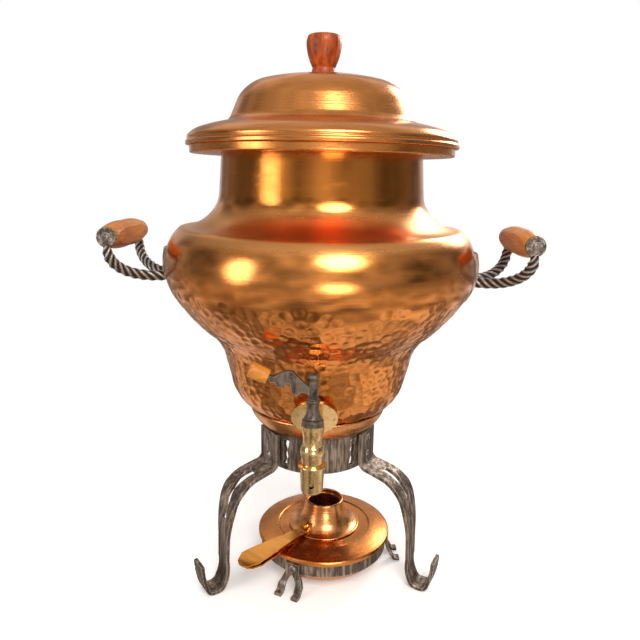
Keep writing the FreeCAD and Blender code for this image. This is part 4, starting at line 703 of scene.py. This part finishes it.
# Burner: spun copper bowl, cover with a chimney tube, and a loose cone that turns on the tube, in
# an iron band with three feet. The heat has reddened its copper, and darkened it on the cover.
BURNER = (7.6, -5.0, 0)
BURNER_COPPER = (0.84, 0.36, 0.13)
BURNER_TARNISH = (0.50, 0.17, 0.055)
COVER_COPPER = (0.70, 0.26, 0.07)
COVER_TARNISH = (0.36, 0.115, 0.03)
BLADE_COPPER = (0.86, 0.35, 0.065)
BLADE_TARNISH = (0.48, 0.16, 0.03)
AROUND_BOWL = 192
AROUND_COVER = 224
burner_finish = copper("burner_copper_finish", BURNER_COPPER, BURNER_TARNISH, shine=0.2,
                       spin_relief=0.00012, patch_scale=22.0)
BOWL = [(0, 5.0, 0), (40.0, 5.0, 70), (52.2, 16.0, 0), (52.2, 26.0, 0), (55.8, 26.0, 0), (55.8, 27.0, 0),
        (51.2, 27.0, 0), (51.205, 16.105, -70), (39.913, 5.996, 0), (0, 6.0, 0)]
bowl = turned("burner_copper_bowl", outline_points(BOWL, step=1.5), AROUND_BOWL, burner_finish, BURNER)
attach(bowl, "burner")
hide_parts("burner_bowl")
COVER = [(51.0, 27.0, 0), (56.1, 27.0, 90), (57.7, 28.6, 0), (57.7, 29.8, 80), (56.1, 31.2, 8),
         (40.5, 34.6, 0), (39.5, 33.7, 0), (33.0, 34.0, 0), (17.0, 34.0, -90), (15.0, 36.0, 0),
         (15.0, 54.5, 0), (14.0, 54.5, 0), (14.0, 34.0, 80), (16.0, 33.0, 0), (39.5, 32.7, 0),
         (54.7, 30.0, 0), (54.7, 28.0, 0), (51.0, 28.0, 0), (51.0, 27.0, 0)]
cover_finish = copper("cover_copper_finish", COVER_COPPER, COVER_TARNISH, shine=0.22,
                      spin_relief=0.00012, patch_scale=22.0)
cover = turned("burner_copper_cover", closed_outline(COVER, step=1.2), AROUND_COVER, cover_finish, BURNER)
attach(cover, "burner")
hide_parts("burner_cover")
CONE = [(29.5, 34.3, 60), (31.1, 34.8, 90), (29.5, 35.3, -50), (19.0, 46.5, -18), (16.8, 56.5, 0),
        (16.3, 57.5, 0), (15.08, 57.5, 0), (15.08, 52.0, 0), (18.086, 46.093, 50), (29.326, 34.315, 0),
        (29.5, 34.3, 0)]
cone = turned("regulator_copper_cone", closed_outline(CONE, step=1.0), AROUND_BOWL, burner_finish, BURNER)
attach(cone, "regulator")
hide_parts("regulator_cone")
blade_finish = copper("blade_copper_finish", BLADE_COPPER, BLADE_TARNISH, shine=0.16,
                      spin_relief=0.00012, patch_scale=30.0)
dress(blade_finish, "burner_cover_handle", "regulator_handle", "burner_cover_rivet", "regulator_rivet")
WOOL_GREY = (0.6, 0.58, 0.52)
WOOL_PAINTED_SHADE = (0.3, 0.28, 0.24)
WOOL_PAINTED_LIGHT = (0.68, 0.66, 0.6)
GAUZE_BROWN = (0.2, 0.13, 0.08)
GAUZE_GAP_PAINTED_SHADE = (0.008, 0.006, 0.005)
GAUZE_WIRE = (0.26, 0.16, 0.09)
WIRES_PER_METRE = 1250.0
BANDS_PER_SCALE = 3.2


def mineral_wool():
    """Pale wool: tangled strands, with painted light on their tops and painted shade between them."""
    material, tree, shader, where = new_finish("wool_finish", WOOL_GREY, roughness=0.95, metallic=0.0)
    strands = noise(tree, where, 700.0, 6.0, 0.8)
    # Colour follows the strands' relief: painted light on the tops, painted shade between them.
    wire(tree, shader, Base_Color=ramp(tree, strands, (0.35, *WOOL_PAINTED_SHADE), (0.6, *WOOL_PAINTED_LIGHT)))
    bumped(tree, shader, strands, 0.0012)
    return material


def woven_gauze():
    """Sooted wire gauze: the higher of two sets of wires, one along X and one along Y, with the gaps between
    the wires painted nearly black as shade.
    """
    material, tree, shader, where = new_finish("gauze_finish", GAUZE_BROWN, roughness=0.55, metallic=0.9)
    weave = {0: where, "Scale": WIRES_PER_METRE / BANDS_PER_SCALE}
    one_way = add(tree, "TexWave", weave, bands_direction="X").outputs[1]
    other_way = add(tree, "TexWave", weave, bands_direction="Y").outputs[1]
    wires = maths(tree, "MAXIMUM", one_way, other_way)
    # Gaps between the wires are painted nearly black: painted shade.
    wire(tree, shader, Base_Color=ramp(tree, wires, (0.35, *GAUZE_GAP_PAINTED_SHADE), (0.8, *GAUZE_WIRE)))
    bumped(tree, shader, wires, 0.0003)
    return material


dress(mineral_wool(), "burner_wool")
dress(woven_gauze(), "burner_gauze")
dress(lid_finish, "lid_collar")
